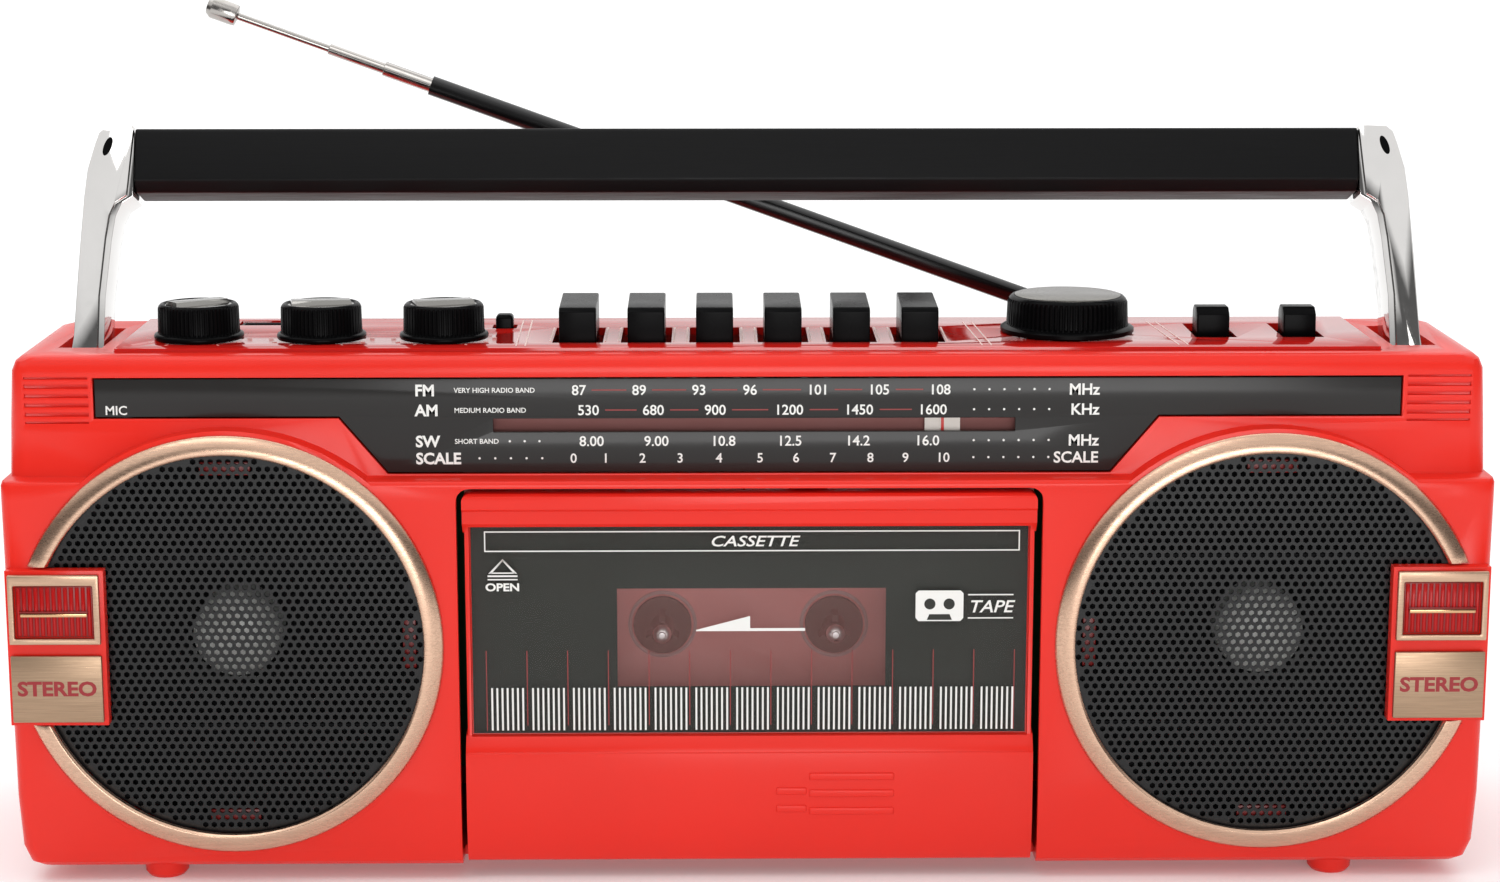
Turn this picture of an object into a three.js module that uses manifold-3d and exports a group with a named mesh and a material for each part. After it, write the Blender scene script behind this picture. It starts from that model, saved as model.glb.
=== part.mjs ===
// A portable radio and cassette player with a carrying handle and a telescopic antenna.
// Millimetres, +Z up, front towards -Y, origin under the middle of the object's box.
import * as THREE from "three";
import { mergeVertices } from "three/addons/utils/BufferGeometryUtils.js";
import Module from "manifold-3d";

const wasm = await Module();
wasm.setup();

// ---- Driving dimensions ----------------------------------------------------------------
const GAP = 0.3; // clearance between pieces that touch
const WALL = 2.4; // cabinet wall
const HALF_WIDTH = 176.2;
const BOTTOM = 4; // underside of the cabinet, above its feet
const LEDGE = 99.2; // where the lower front steps out
const TOP = 128;
const UPPER_FRONT = -38;
const LOWER_FRONT = -43.5;
const SEAM = 16.5; // plane where the front and rear shells meet
const BACK = 48;
const SLOPE_FOOT = 112; // height at which the rear top slope meets the back

const SPEAKER_X = 123.4;
const SPEAKER_Z = 59.25;
const RING_OUTER = 50.9;
const RING_INNER = 46.2;

const DOOR = { halfWidth: 67.9, bottom: 4.6, top: 95.7, corner: 1.8, opening: 69.2, openingTop: 97.1 };
const DOOR_PIVOT = { y: -38.5, z: 8.5 };
const WINDOW = { halfWidth: 66.2, bottom: 36.2, top: 87.2 };

const REEL_X = 21.25; // half the reel spacing of a compact cassette
const REEL_Z = 56;
const CHASSIS_BACK = -9;

const DECK = { halfWidth: 150, front: -32, back: 15, bottom: 126.9, top: 128.8 };
const KNOB_Y = -16.5;
const KNOB_X = [-132.5, -103, -73.5];
const KNOB_NAMES = ["volume_knob", "bass_knob", "treble_knob"];
const TUNING = { x: 78, y: -8.5 };
const KEY = { width: 8.9, pitch: 16.4, front: -23.8, back: -2.4, top: 137, travel: 4 };
const KEY_NAMES = ["key_record", "key_play", "key_rewind", "key_fast_forward", "key_stop", "key_pause"];
const LEVER = { width: 7.9, front: -13, back: -5, top: 135.2 };
const LEVER_X = { band_lever: 113.2, function_lever: 134.3 };
const BUTTON = { x: -60, y: 1, width: 4.3 };

const DIAL_ENDS = 154;
const DIAL_TOP = 122.5;
const DIAL_STEP = 113.3; // underside of the narrow ends
const DIAL_BOTTOM = 99.9;
const POINTER_SLOT = { left: -60.5, right: 62.8, bottom: 109.6, top: 112.8 };
const POINTER_X = 45.7;

const HANDLE = { y: -15.6, z: 114, lean: 18, gripHalf: 148.8, depth: 17 };
const ANTENNA = { x: 75, y: 33, z: 130, rise: 19.8 };

const BATTERY = { halfWidth: 55, bottom: 12, top: 72, floor: 19.2 };

// ---- Materials -------------------------------------------------------------------------
const paint = (color, roughness, metalness = 0) =>
  new THREE.MeshStandardMaterial({ color, roughness, metalness });
const RED = paint(0xe23a2c, 0.18);
const BLACK = paint(0x151515, 0.35);
const SMOKE = paint(0x2f2f31, 0.08);
const BRONZE = paint(0xc9a68a, 0.32, 1);
const CHROME = paint(0xd8d8da, 0.12, 1);
const STEEL = paint(0x9a9ca0, 0.35, 1);
const GRILLE = paint(0x1b1b1c, 0.45, 0.4);
const RED_LENS = paint(0xc0141a, 0.1);
const PAPER = paint(0x26262a, 0.7);
const BOARD = paint(0x2f6b3c, 0.6);
const RUBBER = paint(0x101010, 0.9);

// ---- Shapes ----------------------------------------------------------------------------
// Any closed geometry as a solid that can be joined and cut.
function solid(geometry) {
  const bare = geometry.index ? geometry.toNonIndexed() : geometry.clone();
  bare.deleteAttribute("normal");
  bare.deleteAttribute("uv");
  const merged = mergeVertices(bare, 1e-4);
  return new wasm.Manifold(
    new wasm.Mesh({
      numProp: 3,
      vertProperties: merged.attributes.position.array,
      triVerts: new Uint32Array(merged.index.array),
    }),
  );
}

function join(...pieces) {
  return pieces.reduce((sum, piece) => sum.add(piece));
}

function cut(base, ...tools) {
  return tools.reduce((left, tool) => left.subtract(tool), base);
}

function box(x0, x1, y0, y1, z0, z1) {
  const shape = new THREE.BoxGeometry(x1 - x0, y1 - y0, z1 - z0);
  return solid(shape.translate((x0 + x1) / 2, (y0 + y1) / 2, (z0 + z1) / 2));
}

// A box that lies on the side of x = 0 that `side` (1 or -1) names.
function sideBox(side, x0, x1, y0, y1, z0, z1) {
  return side > 0 ? box(x0, x1, y0, y1, z0, z1) : box(-x1, -x0, y0, y1, z0, z1);
}

// Round rods along each axis.
function rodX(radius, y, z, x0, x1, sides = 16) {
  const shape = new THREE.CylinderGeometry(radius, radius, x1 - x0, sides).rotateZ(Math.PI / 2);
  return solid(shape.translate((x0 + x1) / 2, y, z));
}
function rodY(radius, x, z, y0, y1, sides = 16) {
  const shape = new THREE.CylinderGeometry(radius, radius, y1 - y0, sides);
  return solid(shape.translate(x, (y0 + y1) / 2, z));
}
function rodZ(radius, x, y, z0, z1, sides = 16) {
  const shape = new THREE.CylinderGeometry(radius, radius, z1 - z0, sides).rotateX(Math.PI / 2);
  return solid(shape.translate(x, y, (z0 + z1) / 2));
}

// A turned piece: [radius, height] points from the bottom axis point up to the top one, or a loop.
function turned(points, sides = 24) {
  const profile = points.map(([radius, height]) => new THREE.Vector2(radius, height));
  return new THREE.LatheGeometry(profile, sides);
}
const standing = (geometry, x, y) => solid(geometry.rotateX(Math.PI / 2).translate(x, y, 0));
// Height along the profile becomes depth from the front, so larger heights lie further back.
const facingFront = (geometry, x, z) => solid(geometry.translate(x, 0, z));

function extrude(outline, depth) {
  const shape = new THREE.Shape(outline.map(([a, b]) => new THREE.Vector2(a, b)));
  return new THREE.ExtrudeGeometry(shape, { depth, bevelEnabled: false });
}
// An outline in X and Z, from y0 back to y1.
const plate = (outline, y0, y1) =>
  solid(extrude(outline, y1 - y0).rotateX(Math.PI / 2).translate(0, y1, 0));
// An outline in Y and Z, from x0 to x1.
const profileX = (outline, x0, x1) =>
  solid(extrude(outline, x1 - x0).rotateX(Math.PI / 2).rotateZ(Math.PI / 2).translate(x0, 0, 0));

// ---- Cabinet form ----------------------------------------------------------------------
// Level sections of the cabinet from its underside up: height, half width, front, back, corner
// radius, and the way (1 up, -1 down) that the section moves when the form is drawn smaller.
const rearSlope = (z) => SEAM + ((TOP - z) / (TOP - SLOPE_FOOT)) * (BACK - 1.5 - SEAM);
const CABINET = [
  [BOTTOM, HALF_WIDTH - 4.6, LOWER_FRONT + 3.3, BACK - 3.4, 3, 1],
  [BOTTOM + 1.3, HALF_WIDTH - 2.8, LOWER_FRONT + 1.6, BACK - 1.4, 3, 1],
  [BOTTOM + 5.5, HALF_WIDTH - 1.4, LOWER_FRONT + 0.5, BACK, 3, 1],
  [BOTTOM + 18, HALF_WIDTH - 0.7, LOWER_FRONT, BACK, 3, 0],
  [LEDGE - 5, HALF_WIDTH, LOWER_FRONT, BACK, 3, 0],
  [LEDGE - 1.3, HALF_WIDTH, LOWER_FRONT, BACK, 3, -1],
  [LEDGE - 0.4, HALF_WIDTH - 0.3, LOWER_FRONT + 0.4, BACK, 3, -1],
  [LEDGE, HALF_WIDTH - 0.8, LOWER_FRONT + 1.3, BACK, 3, -1],
  [LEDGE + 0.05, HALF_WIDTH - 1, UPPER_FRONT, BACK, 4.5, -1],
  [SLOPE_FOOT - 2.5, HALF_WIDTH - 1.5, UPPER_FRONT, BACK, 4.5, 0],
  [SLOPE_FOOT, HALF_WIDTH - 1.6, UPPER_FRONT, BACK - 1.5, 4.5, -1],
  [TOP - 3.8, HALF_WIDTH - 2.3, UPPER_FRONT, rearSlope(TOP - 3.8), 4.5, -1],
  [TOP - 1.6, HALF_WIDTH - 3.2, UPPER_FRONT + 0.3, rearSlope(TOP - 1.6), 4.5, -1],
  [TOP - 0.5, HALF_WIDTH - 4.6, UPPER_FRONT + 0.9, rearSlope(TOP - 0.5), 4.5, -1],
  [TOP, HALF_WIDTH - 6.4, UPPER_FRONT + 2, SEAM, 4.5, -1],
];
const CORNER_STEPS = 5;

// One level loop, counter-clockwise from above, with rounded corners.
function sectionLoop(halfWidth, front, back, corner) {
  const centres = [
    [halfWidth - corner, back - corner, 0],
    [-halfWidth + corner, back - corner, 1],
    [-halfWidth + corner, front + corner, 2],
    [halfWidth - corner, front + corner, 3],
  ];
  return centres.flatMap(([x, y, quarter]) =>
    Array.from({ length: CORNER_STEPS + 1 }, (_, step) => {
      const angle = ((quarter + step / CORNER_STEPS) * Math.PI) / 2;
      return [x + corner * Math.cos(angle), y + corner * Math.sin(angle)];
    }),
  );
}

function cabinetForm(inset) {
  const loops = CABINET.map(([z, halfWidth, front, back, corner, shift]) =>
    sectionLoop(halfWidth - inset, front + inset, back - inset, corner).map(([x, y]) => [
      x,
      y,
      z + shift * inset,
    ]),
  );
  const count = loops[0].length;
  const index = [];
  for (let level = 0; level + 1 < loops.length; level++)
    for (let i = 0; i < count; i++) {
      const a = level * count + i;
      const b = level * count + ((i + 1) % count);
      index.push(a, b, b + count, a, b + count, a + count);
    }
  const last = (loops.length - 1) * count;
  for (let i = 1; i + 1 < count; i++)
    index.push(0, i + 1, i, last, last + i, last + i + 1);
  const geometry = new THREE.BufferGeometry();
  geometry.setAttribute("position", new THREE.Float32BufferAttribute(loops.flat(2), 3));
  geometry.setIndex(index);
  return solid(geometry);
}

const FAR = 400;
const outerForm = cabinetForm(0);
const innerForm = cabinetForm(WALL);

// Outline of the dial window, grown by `margin`.
function dialOutline(margin) {
  const ends = DIAL_ENDS + margin;
  return [
    [-ends, DIAL_TOP + margin],
    [-ends, DIAL_STEP - margin],
    [-96.7 - margin * 0.4, DIAL_STEP - margin],
    [-85.4 - margin * 0.4, DIAL_BOTTOM - margin],
    [85.4 + margin * 0.4, DIAL_BOTTOM - margin],
    [96.7 + margin * 0.4, DIAL_STEP - margin],
    [ends, DIAL_STEP - margin],
    [ends, DIAL_TOP + margin],
  ];
}

// ---- Front shell -----------------------------------------------------------------------
const RIB_COUNT = 5;
const RIBS = { inner: 155.4, outer: 170.4, bottom: 111.9, top: 123, depth: 1 };

function sideRibs(side) {
  const pitch = (RIBS.top - RIBS.bottom) / RIB_COUNT;
  const bars = Array.from({ length: RIB_COUNT }, (_, i) => {
    const z = RIBS.bottom + (i + 0.5) * pitch;
    const [inner, outer] = [RIBS.inner - 0.5, RIBS.outer + 0.3];
    return sideBox(side, inner, outer, UPPER_FRONT, UPPER_FRONT + 1.2, z - 0.6, z + 0.6);
  });
  return join(...bars);
}

// The pocket in each end of the top that holds the foot of a handle arm.
const POCKET = { inner: 154.2, outer: 164.6, front: -25.4, back: 4.6, floor: 102.5, wall: 2 };
function handlePocket(side) {
  const { inner, outer, front, back, floor, wall } = POCKET;
  const ends = [inner - wall, outer + wall + 1];
  const walls = sideBox(side, ...ends, front - wall, back + wall, floor - wall, TOP - 1);
  const hollow = sideBox(side, inner, outer, front, back, floor, TOP + 5);
  return { walls, hollow };
}

function speakerBoss(x) {
  return rodY(51.9, x, SPEAKER_Z, LOWER_FRONT, UPPER_FRONT + 1, 72);
}
function speakerHole(x) {
  return join(
    rodY(47, x, SPEAKER_Z, LOWER_FRONT - 5, LOWER_FRONT + WALL + 0.1, 64),
    rodY(50.2, x, SPEAKER_Z, LOWER_FRONT + WALL, UPPER_FRONT + 6, 48),
  );
}

// The raised block on each outer edge, under the badges.
const BLOCK = { inner: 151.9, outer: 175, front: -46.5, bottom: 40.8, top: 78.4 };

const FOOT_X = 141.7;
function foot(x, y) {
  return standing(turned([[0, 0], [4.4, 0], [5.2, 1], [5.6, BOTTOM + 2], [0, BOTTOM + 2]], 20), x, y);
}

// An upright rectangle in X and Z whose two upper corners are round.
function roundTopped(half, bottom, top, radius) {
  const steps = 5;
  const arc = (side) =>
    Array.from({ length: steps + 1 }, (_, i) => {
      const angle = (i * Math.PI) / 2 / steps;
      const x = half - radius + radius * Math.cos(angle);
      return [side * x, top - radius + radius * Math.sin(angle)];
    });
  return [[-half, bottom], [half, bottom], ...arc(1), ...arc(-1).reverse()];
}

function makeFrontShell() {
  let shell = cut(outerForm, box(-FAR, FAR, SEAM, FAR, -FAR, FAR));
  shell = join(shell, speakerBoss(-SPEAKER_X), speakerBoss(SPEAKER_X));
  shell = cut(shell, innerForm, speakerHole(-SPEAKER_X), speakerHole(SPEAKER_X));
  shell = cut(
    shell,
    plate(roundTopped(DOOR.opening, -1, DOOR.openingTop, DOOR.corner + 1.3), -60, -36.4),
    box(-DOOR.opening, DOOR.opening, -37, -33.4, -1, 16),
    plate(dialOutline(0.3), UPPER_FRONT - 2, UPPER_FRONT + 5),
    box(-DECK.halfWidth + 4, DECK.halfWidth - 4, DECK.front + 3.5, DECK.back - 3, 118, 140),
    box(
      -DECK.halfWidth - GAP,
      DECK.halfWidth + GAP,
      DECK.front - GAP,
      DECK.back + GAP,
      DECK.bottom - GAP,
      140,
    ),
  );
  for (const side of [-1, 1]) {
    const pocket = handlePocket(side);
    const pinHole = rodX(3.3, HANDLE.y, HANDLE.z, side * 166.5 - 3, side * 166.5 + 3, 16);
    shell = cut(join(shell, pocket.walls), pocket.hollow, pinHole);
    const { inner, outer, depth, bottom, top } = RIBS;
    const recess = sideBox(side, inner, outer, -50, UPPER_FRONT + depth, bottom, top);
    shell = join(cut(shell, recess), sideRibs(side));
    shell = join(
      shell,
      sideBox(side, BLOCK.inner, BLOCK.outer, BLOCK.front, LOWER_FRONT + GAP, BLOCK.bottom, BLOCK.top),
      foot(side * FOOT_X, -34),
    );
  }
  return cut(shell, box(-FAR, FAR, SEAM, FAR, -FAR, FAR));
}

// ---- Rear shell ------------------------------------------------------------------------
function makeRearShell() {
  const b = BATTERY;
  let shell = cut(outerForm, box(-FAR, FAR, -FAR, SEAM + GAP, -FAR, FAR), innerForm);
  // battery bay: a walled pocket behind the battery door
  shell = join(
    shell,
    box(-b.halfWidth - 2, b.halfWidth + 2, b.floor - 2, BACK - 1, b.bottom - 2, b.top + 2),
    foot(-FOOT_X, 38),
    foot(FOOT_X, 38),
  );
  // screw posts that reach the seam, each with a recess for its screw head
  for (const x of [-165, -68, 68, 165])
    for (const z of [14, 88]) {
      shell = join(shell, rodY(3.6, x, z, SEAM + GAP, BACK - 3, 10), rodY(5, x, z, BACK - 5, BACK - 1, 16));
      shell = cut(shell, rodY(3.9, x, z, BACK - 2.6, BACK + 3, 20));
    }
  // the seat of the antenna on the slope
  shell = join(shell, rodZ(7.5, ANTENNA.x, ANTENNA.y, 112, 123.6, 24));
  shell = cut(
    shell,
    box(-b.halfWidth, b.halfWidth, b.floor, BACK + 5, b.bottom, b.top),
    box(-b.halfWidth - 2.5, b.halfWidth + 2.5, BACK - 2.6, BACK + 5, b.bottom - 2.5, b.top + 2.5),
    box(110, 130, BACK - 8, BACK + 5, 20, 32),
    rodZ(2.3, ANTENNA.x, ANTENNA.y, 115, 130, 16),
  );
  // vents above the battery door
  for (let i = 0; i < 6; i++) {
    const z = 84 + i * 4;
    shell = cut(shell, box(-45, 45, BACK - 5, BACK + 5, z, z + 1.8));
  }
  return shell;
}

// ---- Top deck and its controls ---------------------------------------------------------
function keyX(i) {
  return (i - (KEY_NAMES.length - 1) / 2) * KEY.pitch;
}

function makeDeck() {
  let deck = box(-DECK.halfWidth, DECK.halfWidth, DECK.front, DECK.back, DECK.bottom, DECK.top);
  const z0 = DECK.bottom - 2;
  const z1 = DECK.top + 2;
  for (const x of KNOB_X) deck = cut(deck, rodZ(4, x, KNOB_Y, z0, z1, 20));
  deck = cut(deck, rodZ(4.5, TUNING.x, TUNING.y, z0, z1, 20));
  for (let i = 0; i < KEY_NAMES.length; i++) {
    const x = keyX(i);
    const half = KEY.width / 2 + 1.6;
    deck = cut(deck, box(x - half, x + half, KEY.front - 0.6, KEY.back + 1.4, z0, z1));
  }
  for (const x of Object.values(LEVER_X))
    deck = cut(deck, box(x - 5, x + 5, LEVER.front - 5, LEVER.back + 9, z0, z1));
  return cut(
    deck,
    box(BUTTON.x - 3, BUTTON.x + 3, BUTTON.y - 3, BUTTON.y + 3, z0, z1),
    box(-126.3, -111.7, 3.7, 11.3, z0, z1),
  );
}

function knob(x) {
  const profile = [
    [0, 120.6],
    [3, 120.6],
    [3, 129.3],
    [10.6, 129.3],
    [10.7, 130.2],
    [9.8, 130.6],
    [9.6, 137.1],
    [8.7, 137.8],
    [0, 137.8],
  ];
  const shape = turned(profile, 32);
  return join(standing(shape, x, KNOB_Y), box(x - 0.7, x + 0.7, KNOB_Y - 8.4, KNOB_Y + 2, 137.4, 138.6));
}

function tuningKnob() {
  const profile = [
    [0, 120.6],
    [3.6, 120.6],
    [3.6, 129.3],
    [16.1, 129.3],
    [16.3, 130.6],
    [14.8, 131],
    [14.4, 136.8],
    [13, 138.2],
    [0, 138.2],
  ];
  const shape = turned(profile, 40);
  return standing(shape, TUNING.x, TUNING.y);
}

function pianoKey(x) {
  const { front, back, top } = KEY;
  const cap = [
    [front, 128.2 - KEY.travel],
    [back, 128.2 - KEY.travel],
    [back, top + 0.4],
    [back - 1, top + 0.8],
    [front + 1.2, top],
    [front + 0.2, top - 0.9],
  ];
  const half = KEY.width / 2;
  const stem = box(x - 2, x + 2, front + 6, back - 8, 115, 125);
  return join(profileX(cap, x - half, x + half), stem);
}

function lever(x) {
  const { width, front, back, top } = LEVER;
  const cap = [
    [front, 126.6],
    [back, 126.6],
    [back, top - 1.4],
    [back - 1.6, top],
    [front + 2.4, top],
    [front + 0.4, top - 1.6],
  ];
  const stem = box(x - 1.5, x + 1.5, front + 2, back - 2, 121.4, 127);
  return join(profileX(cap, x - width / 2, x + width / 2), stem);
}

// ---- Dial ------------------------------------------------------------------------------
function makeLens() {
  const s = POINTER_SLOT;
  return cut(
    plate(dialOutline(-0.1), UPPER_FRONT + 0.4, UPPER_FRONT + 2.1),
    box(s.left, s.right, UPPER_FRONT - 2, UPPER_FRONT + 5, s.bottom, s.top),
  );
}
function makePointer() {
  const half = 4.2;
  return join(
    box(POINTER_X - half, POINTER_X + half, UPPER_FRONT + 2.5, UPPER_FRONT + 3.4, 109, 113.4),
    box(POINTER_X - 0.7, POINTER_X + 0.7, UPPER_FRONT + 2.2, UPPER_FRONT + 2.9, 109.9, 112.5),
  );
}

// ---- Speakers --------------------------------------------------------------------------
function speakerRing(side) {
  const front = LOWER_FRONT - 2.1;
  const back = LOWER_FRONT - GAP;
  const loop = [
    [RING_OUTER, back],
    [RING_INNER, back],
    [RING_INNER, front + 0.5],
    [RING_INNER + 0.6, front],
    [RING_INNER + 1.8, front + 0.1],
    [RING_OUTER - 0.6, front + 1.1],
    [RING_OUTER, back],
  ];
  const ring = facingFront(turned(loop, 96), side * SPEAKER_X, SPEAKER_Z);
  return cut(ring, sideBox(side, BLOCK.inner - 0.5, FAR, -60, 0, BLOCK.bottom - 0.5, BLOCK.top + 0.5));
}

function speakerGrille(side) {
  return rodY(46.6, side * SPEAKER_X, SPEAKER_Z, LOWER_FRONT + 0.6, LOWER_FRONT + 1.6, 48);
}

function speakerDriver(side) {
  const front = LOWER_FRONT + WALL + GAP;
  const profile = [
    [0, front + 14.2],
    [6, front + 14.6],
    [10.8, front + 16.6],
    [12, front + 17],
    [35, front + 4],
    [38, front + 1.6],
    [41, front + 3],
    [43, front],
    [49.6, front],
    [49.6, front + 2],
    [44, front + 3],
    [27, front + 20],
    [27, front + 24],
    [22, front + 24.5],
    [22, front + 36],
    [0, front + 36],
  ];
  return facingFront(turned(profile, 32), side * SPEAKER_X, SPEAKER_Z);
}

// ---- Badges ----------------------------------------------------------------------------
const BADGE = { inner: 152.8, outer: 174.2, back: BLOCK.front - GAP, front: -48 };
function badgeFrame(side) {
  const { inner, outer, back, front } = BADGE;
  return cut(
    sideBox(side, inner, outer, front, back, 60.8, 77.6),
    sideBox(side, inner + 1.5, outer - 1.3, front - 1, back + 1, 62.2, 75),
  );
}
function badgeLens(side) {
  const { inner, outer, back, front } = BADGE;
  return sideBox(side, inner + 1.8, outer - 1.6, front + 0.7, back, 62.5, 74.7);
}
function badgePlate(side) {
  return sideBox(side, BADGE.inner, BADGE.outer, BADGE.front + 0.2, BADGE.back, 41.8, 58);
}

// ---- Cassette door ---------------------------------------------------------------------
function makeDoorFrame() {
  const { halfWidth, bottom, top, corner } = DOOR;
  const lower = [
    [-36.6, bottom + 0.6],
    [-36.6, 30],
    [-37.4, 33],
    [-37.4, 37],
    [-40.6, 36.2],
    [-42.2, 33],
    [-42.3, 32.4],
    [-42.7, 32.1],
    [-43, 26],
    [-43, 16],
    [-42.2, 9],
    [-40.6, bottom + 0.6],
    [-39.6, bottom],
    [-37.4, bottom],
  ].reverse();
  const upper = [
    [-37.4, 86],
    [-37.4, top],
    [-42.3, top],
    [-43, top - 0.7],
    [-43, 92],
    [-42.3, 91.4],
    [-42.2, 88.4],
    [-41.2, 87.2],
    [-40.4, 86],
  ].reverse();
  const face = plate(roundTopped(halfWidth, bottom - 1, top, corner), -60, -30);
  let frame = join(
    profileX(lower, -halfWidth, halfWidth),
    profileX(upper, -halfWidth, halfWidth).intersect(face),
    box(-halfWidth + 0.4, halfWidth - 0.4, -40.6, -37.4, 30, 90),
  );
  frame = cut(
    frame,
    box(-WINDOW.halfWidth - GAP, WINDOW.halfWidth + GAP, -45, -38.4, WINDOW.bottom - GAP, WINDOW.top + GAP),
    box(-WINDOW.halfWidth + 5, WINDOW.halfWidth - 5, -45, -30, WINDOW.bottom + 4, WINDOW.top - 4),
    // the hollow behind the bulge
    box(-halfWidth + 2, halfWidth - 2, -41, -36, 11, 30),
  );
  // the knuckles at the lower corners that take the hinge line
  for (const side of [-1, 1])
    frame = join(frame, rodX(2.2, DOOR_PIVOT.y, DOOR_PIVOT.z, side * 66 - 2, side * 66 + 2, 12));
  return frame;
}

function makeHolder() {
  const { halfWidth } = WINDOW;
  const back = -37.1;
  const rails = [-1, 1].map((side) =>
    join(
      sideBox(side, 52, 53.6, back + 0.8, -13, 26, 86),
      sideBox(side, 52, halfWidth - 6, back, back + 1.6, 40.5, 82.5),
    ),
  );
  const shelf = box(-53.6, 53.6, back + 0.8, -13, 24.5, 26.2);
  const apron = box(-60, 60, back + 0.8, back + 2.4, 24.5, 36);
  return join(...rails, shelf, apron);
}

// ---- Tape mechanism --------------------------------------------------------------------
const CAPSTAN = { x: 9, z: 86 };
const PINCH = { x: 14.4, z: 94 };
const MOTOR = { x: 44, z: 34 };
function makeChassis() {
  let tray = cut(
    box(-68, 68, -33, CHASSIS_BACK, 17, 100),
    box(-66.5, 66.5, -40, CHASSIS_BACK - 2, 18.5, 98.5),
    box(-58, 58, -30, CHASSIS_BACK - 3, 98, 101),
  );
  for (const x of [-REEL_X, REEL_X]) tray = cut(tray, rodY(4, x, REEL_Z, CHASSIS_BACK - 4, 0, 16));
  return cut(
    tray,
    rodY(2, CAPSTAN.x, CAPSTAN.z, CHASSIS_BACK - 4, 0, 12),
    rodY(3, MOTOR.x, MOTOR.z, CHASSIS_BACK - 4, 0, 12),
  );
}

function spindle(x) {
  const back = CHASSIS_BACK - 2;
  const profile = [
    [0, -22.6],
    [1.4, -22.2],
    [2.6, -20.4],
    [2.9, back - 2],
    [7.2, back - 1.8],
    [7.2, back - 0.4],
    [2.8, back - 0.4],
    [2.8, CHASSIS_BACK + 4],
    [0, CHASSIS_BACK + 4],
  ];
  let hub = facingFront(turned(profile, 24), x, REEL_Z);
  for (let i = 0; i < 3; i++) {
    const tooth = new THREE.BoxGeometry(1.5, 7, 4.4).translate(0, -16, 2);
    hub = join(hub, solid(tooth.rotateY((i * 2 * Math.PI) / 3).translate(x, 0, REEL_Z)));
  }
  return hub;
}

function capstan() {
  const shaft = rodY(1.2, CAPSTAN.x, CAPSTAN.z, -22, CHASSIS_BACK + 2, 12);
  return join(shaft, rodY(17, CAPSTAN.x, CAPSTAN.z, CHASSIS_BACK + 1, CHASSIS_BACK + 8, 32));
}

// The belt runs round the flywheel and the motor pulley as one loop of straight and round runs.
function beltOutline(extra) {
  const big = 17.3 + extra;
  const small = 4.3 + extra;
  const dx = MOTOR.x - CAPSTAN.x;
  const dz = MOTOR.z - CAPSTAN.z;
  const heading = Math.atan2(dz, dx);
  const spread = Math.acos((big - small) / Math.hypot(dx, dz));
  const arc = (cx, cz, radius, from, to, steps) =>
    Array.from({ length: steps + 1 }, (_, i) => {
      const angle = from + ((to - from) * i) / steps;
      return [cx + radius * Math.cos(angle), cz + radius * Math.sin(angle)];
    });
  return [
    ...arc(CAPSTAN.x, CAPSTAN.z, big, heading + spread, heading + 2 * Math.PI - spread, 24),
    ...arc(MOTOR.x, MOTOR.z, small, heading - spread, heading + spread, 10),
  ];
}
function makeBelt() {
  return cut(
    plate(beltOutline(1.1), CHASSIS_BACK + 3, CHASSIS_BACK + 5),
    plate(beltOutline(0), CHASSIS_BACK + 2, CHASSIS_BACK + 6),
  );
}
function makeMotor() {
  return join(
    rodY(2.4, MOTOR.x, MOTOR.z, CHASSIS_BACK + 0.5, CHASSIS_BACK + 8, 12),
    rodY(4, MOTOR.x, MOTOR.z, CHASSIS_BACK + 2, CHASSIS_BACK + 6, 16),
    rodY(12, MOTOR.x, MOTOR.z, CHASSIS_BACK + 7, CHASSIS_BACK + 15.5, 24),
  );
}

// The sliding bridge that carries the head and pinch roller down to the tape.
function makeHeadBridge() {
  return join(
    box(-30, 30, -15, -13.4, 92, 97.5),
    box(-26, -16, -19, -14, 92, 97),
    rodY(1.4, PINCH.x, PINCH.z, -20, -14, 12),
  );
}
const tapeHead = () => join(box(-7, 5, -23, -15.3, 88.5, 96), box(-5, 3, -22.4, -16, 87, 89));
const pinchRoller = () =>
  cut(rodY(5, PINCH.x, PINCH.z, -22, -15.4, 24), rodY(1.7, PINCH.x, PINCH.z, -23, -15, 12));

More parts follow.
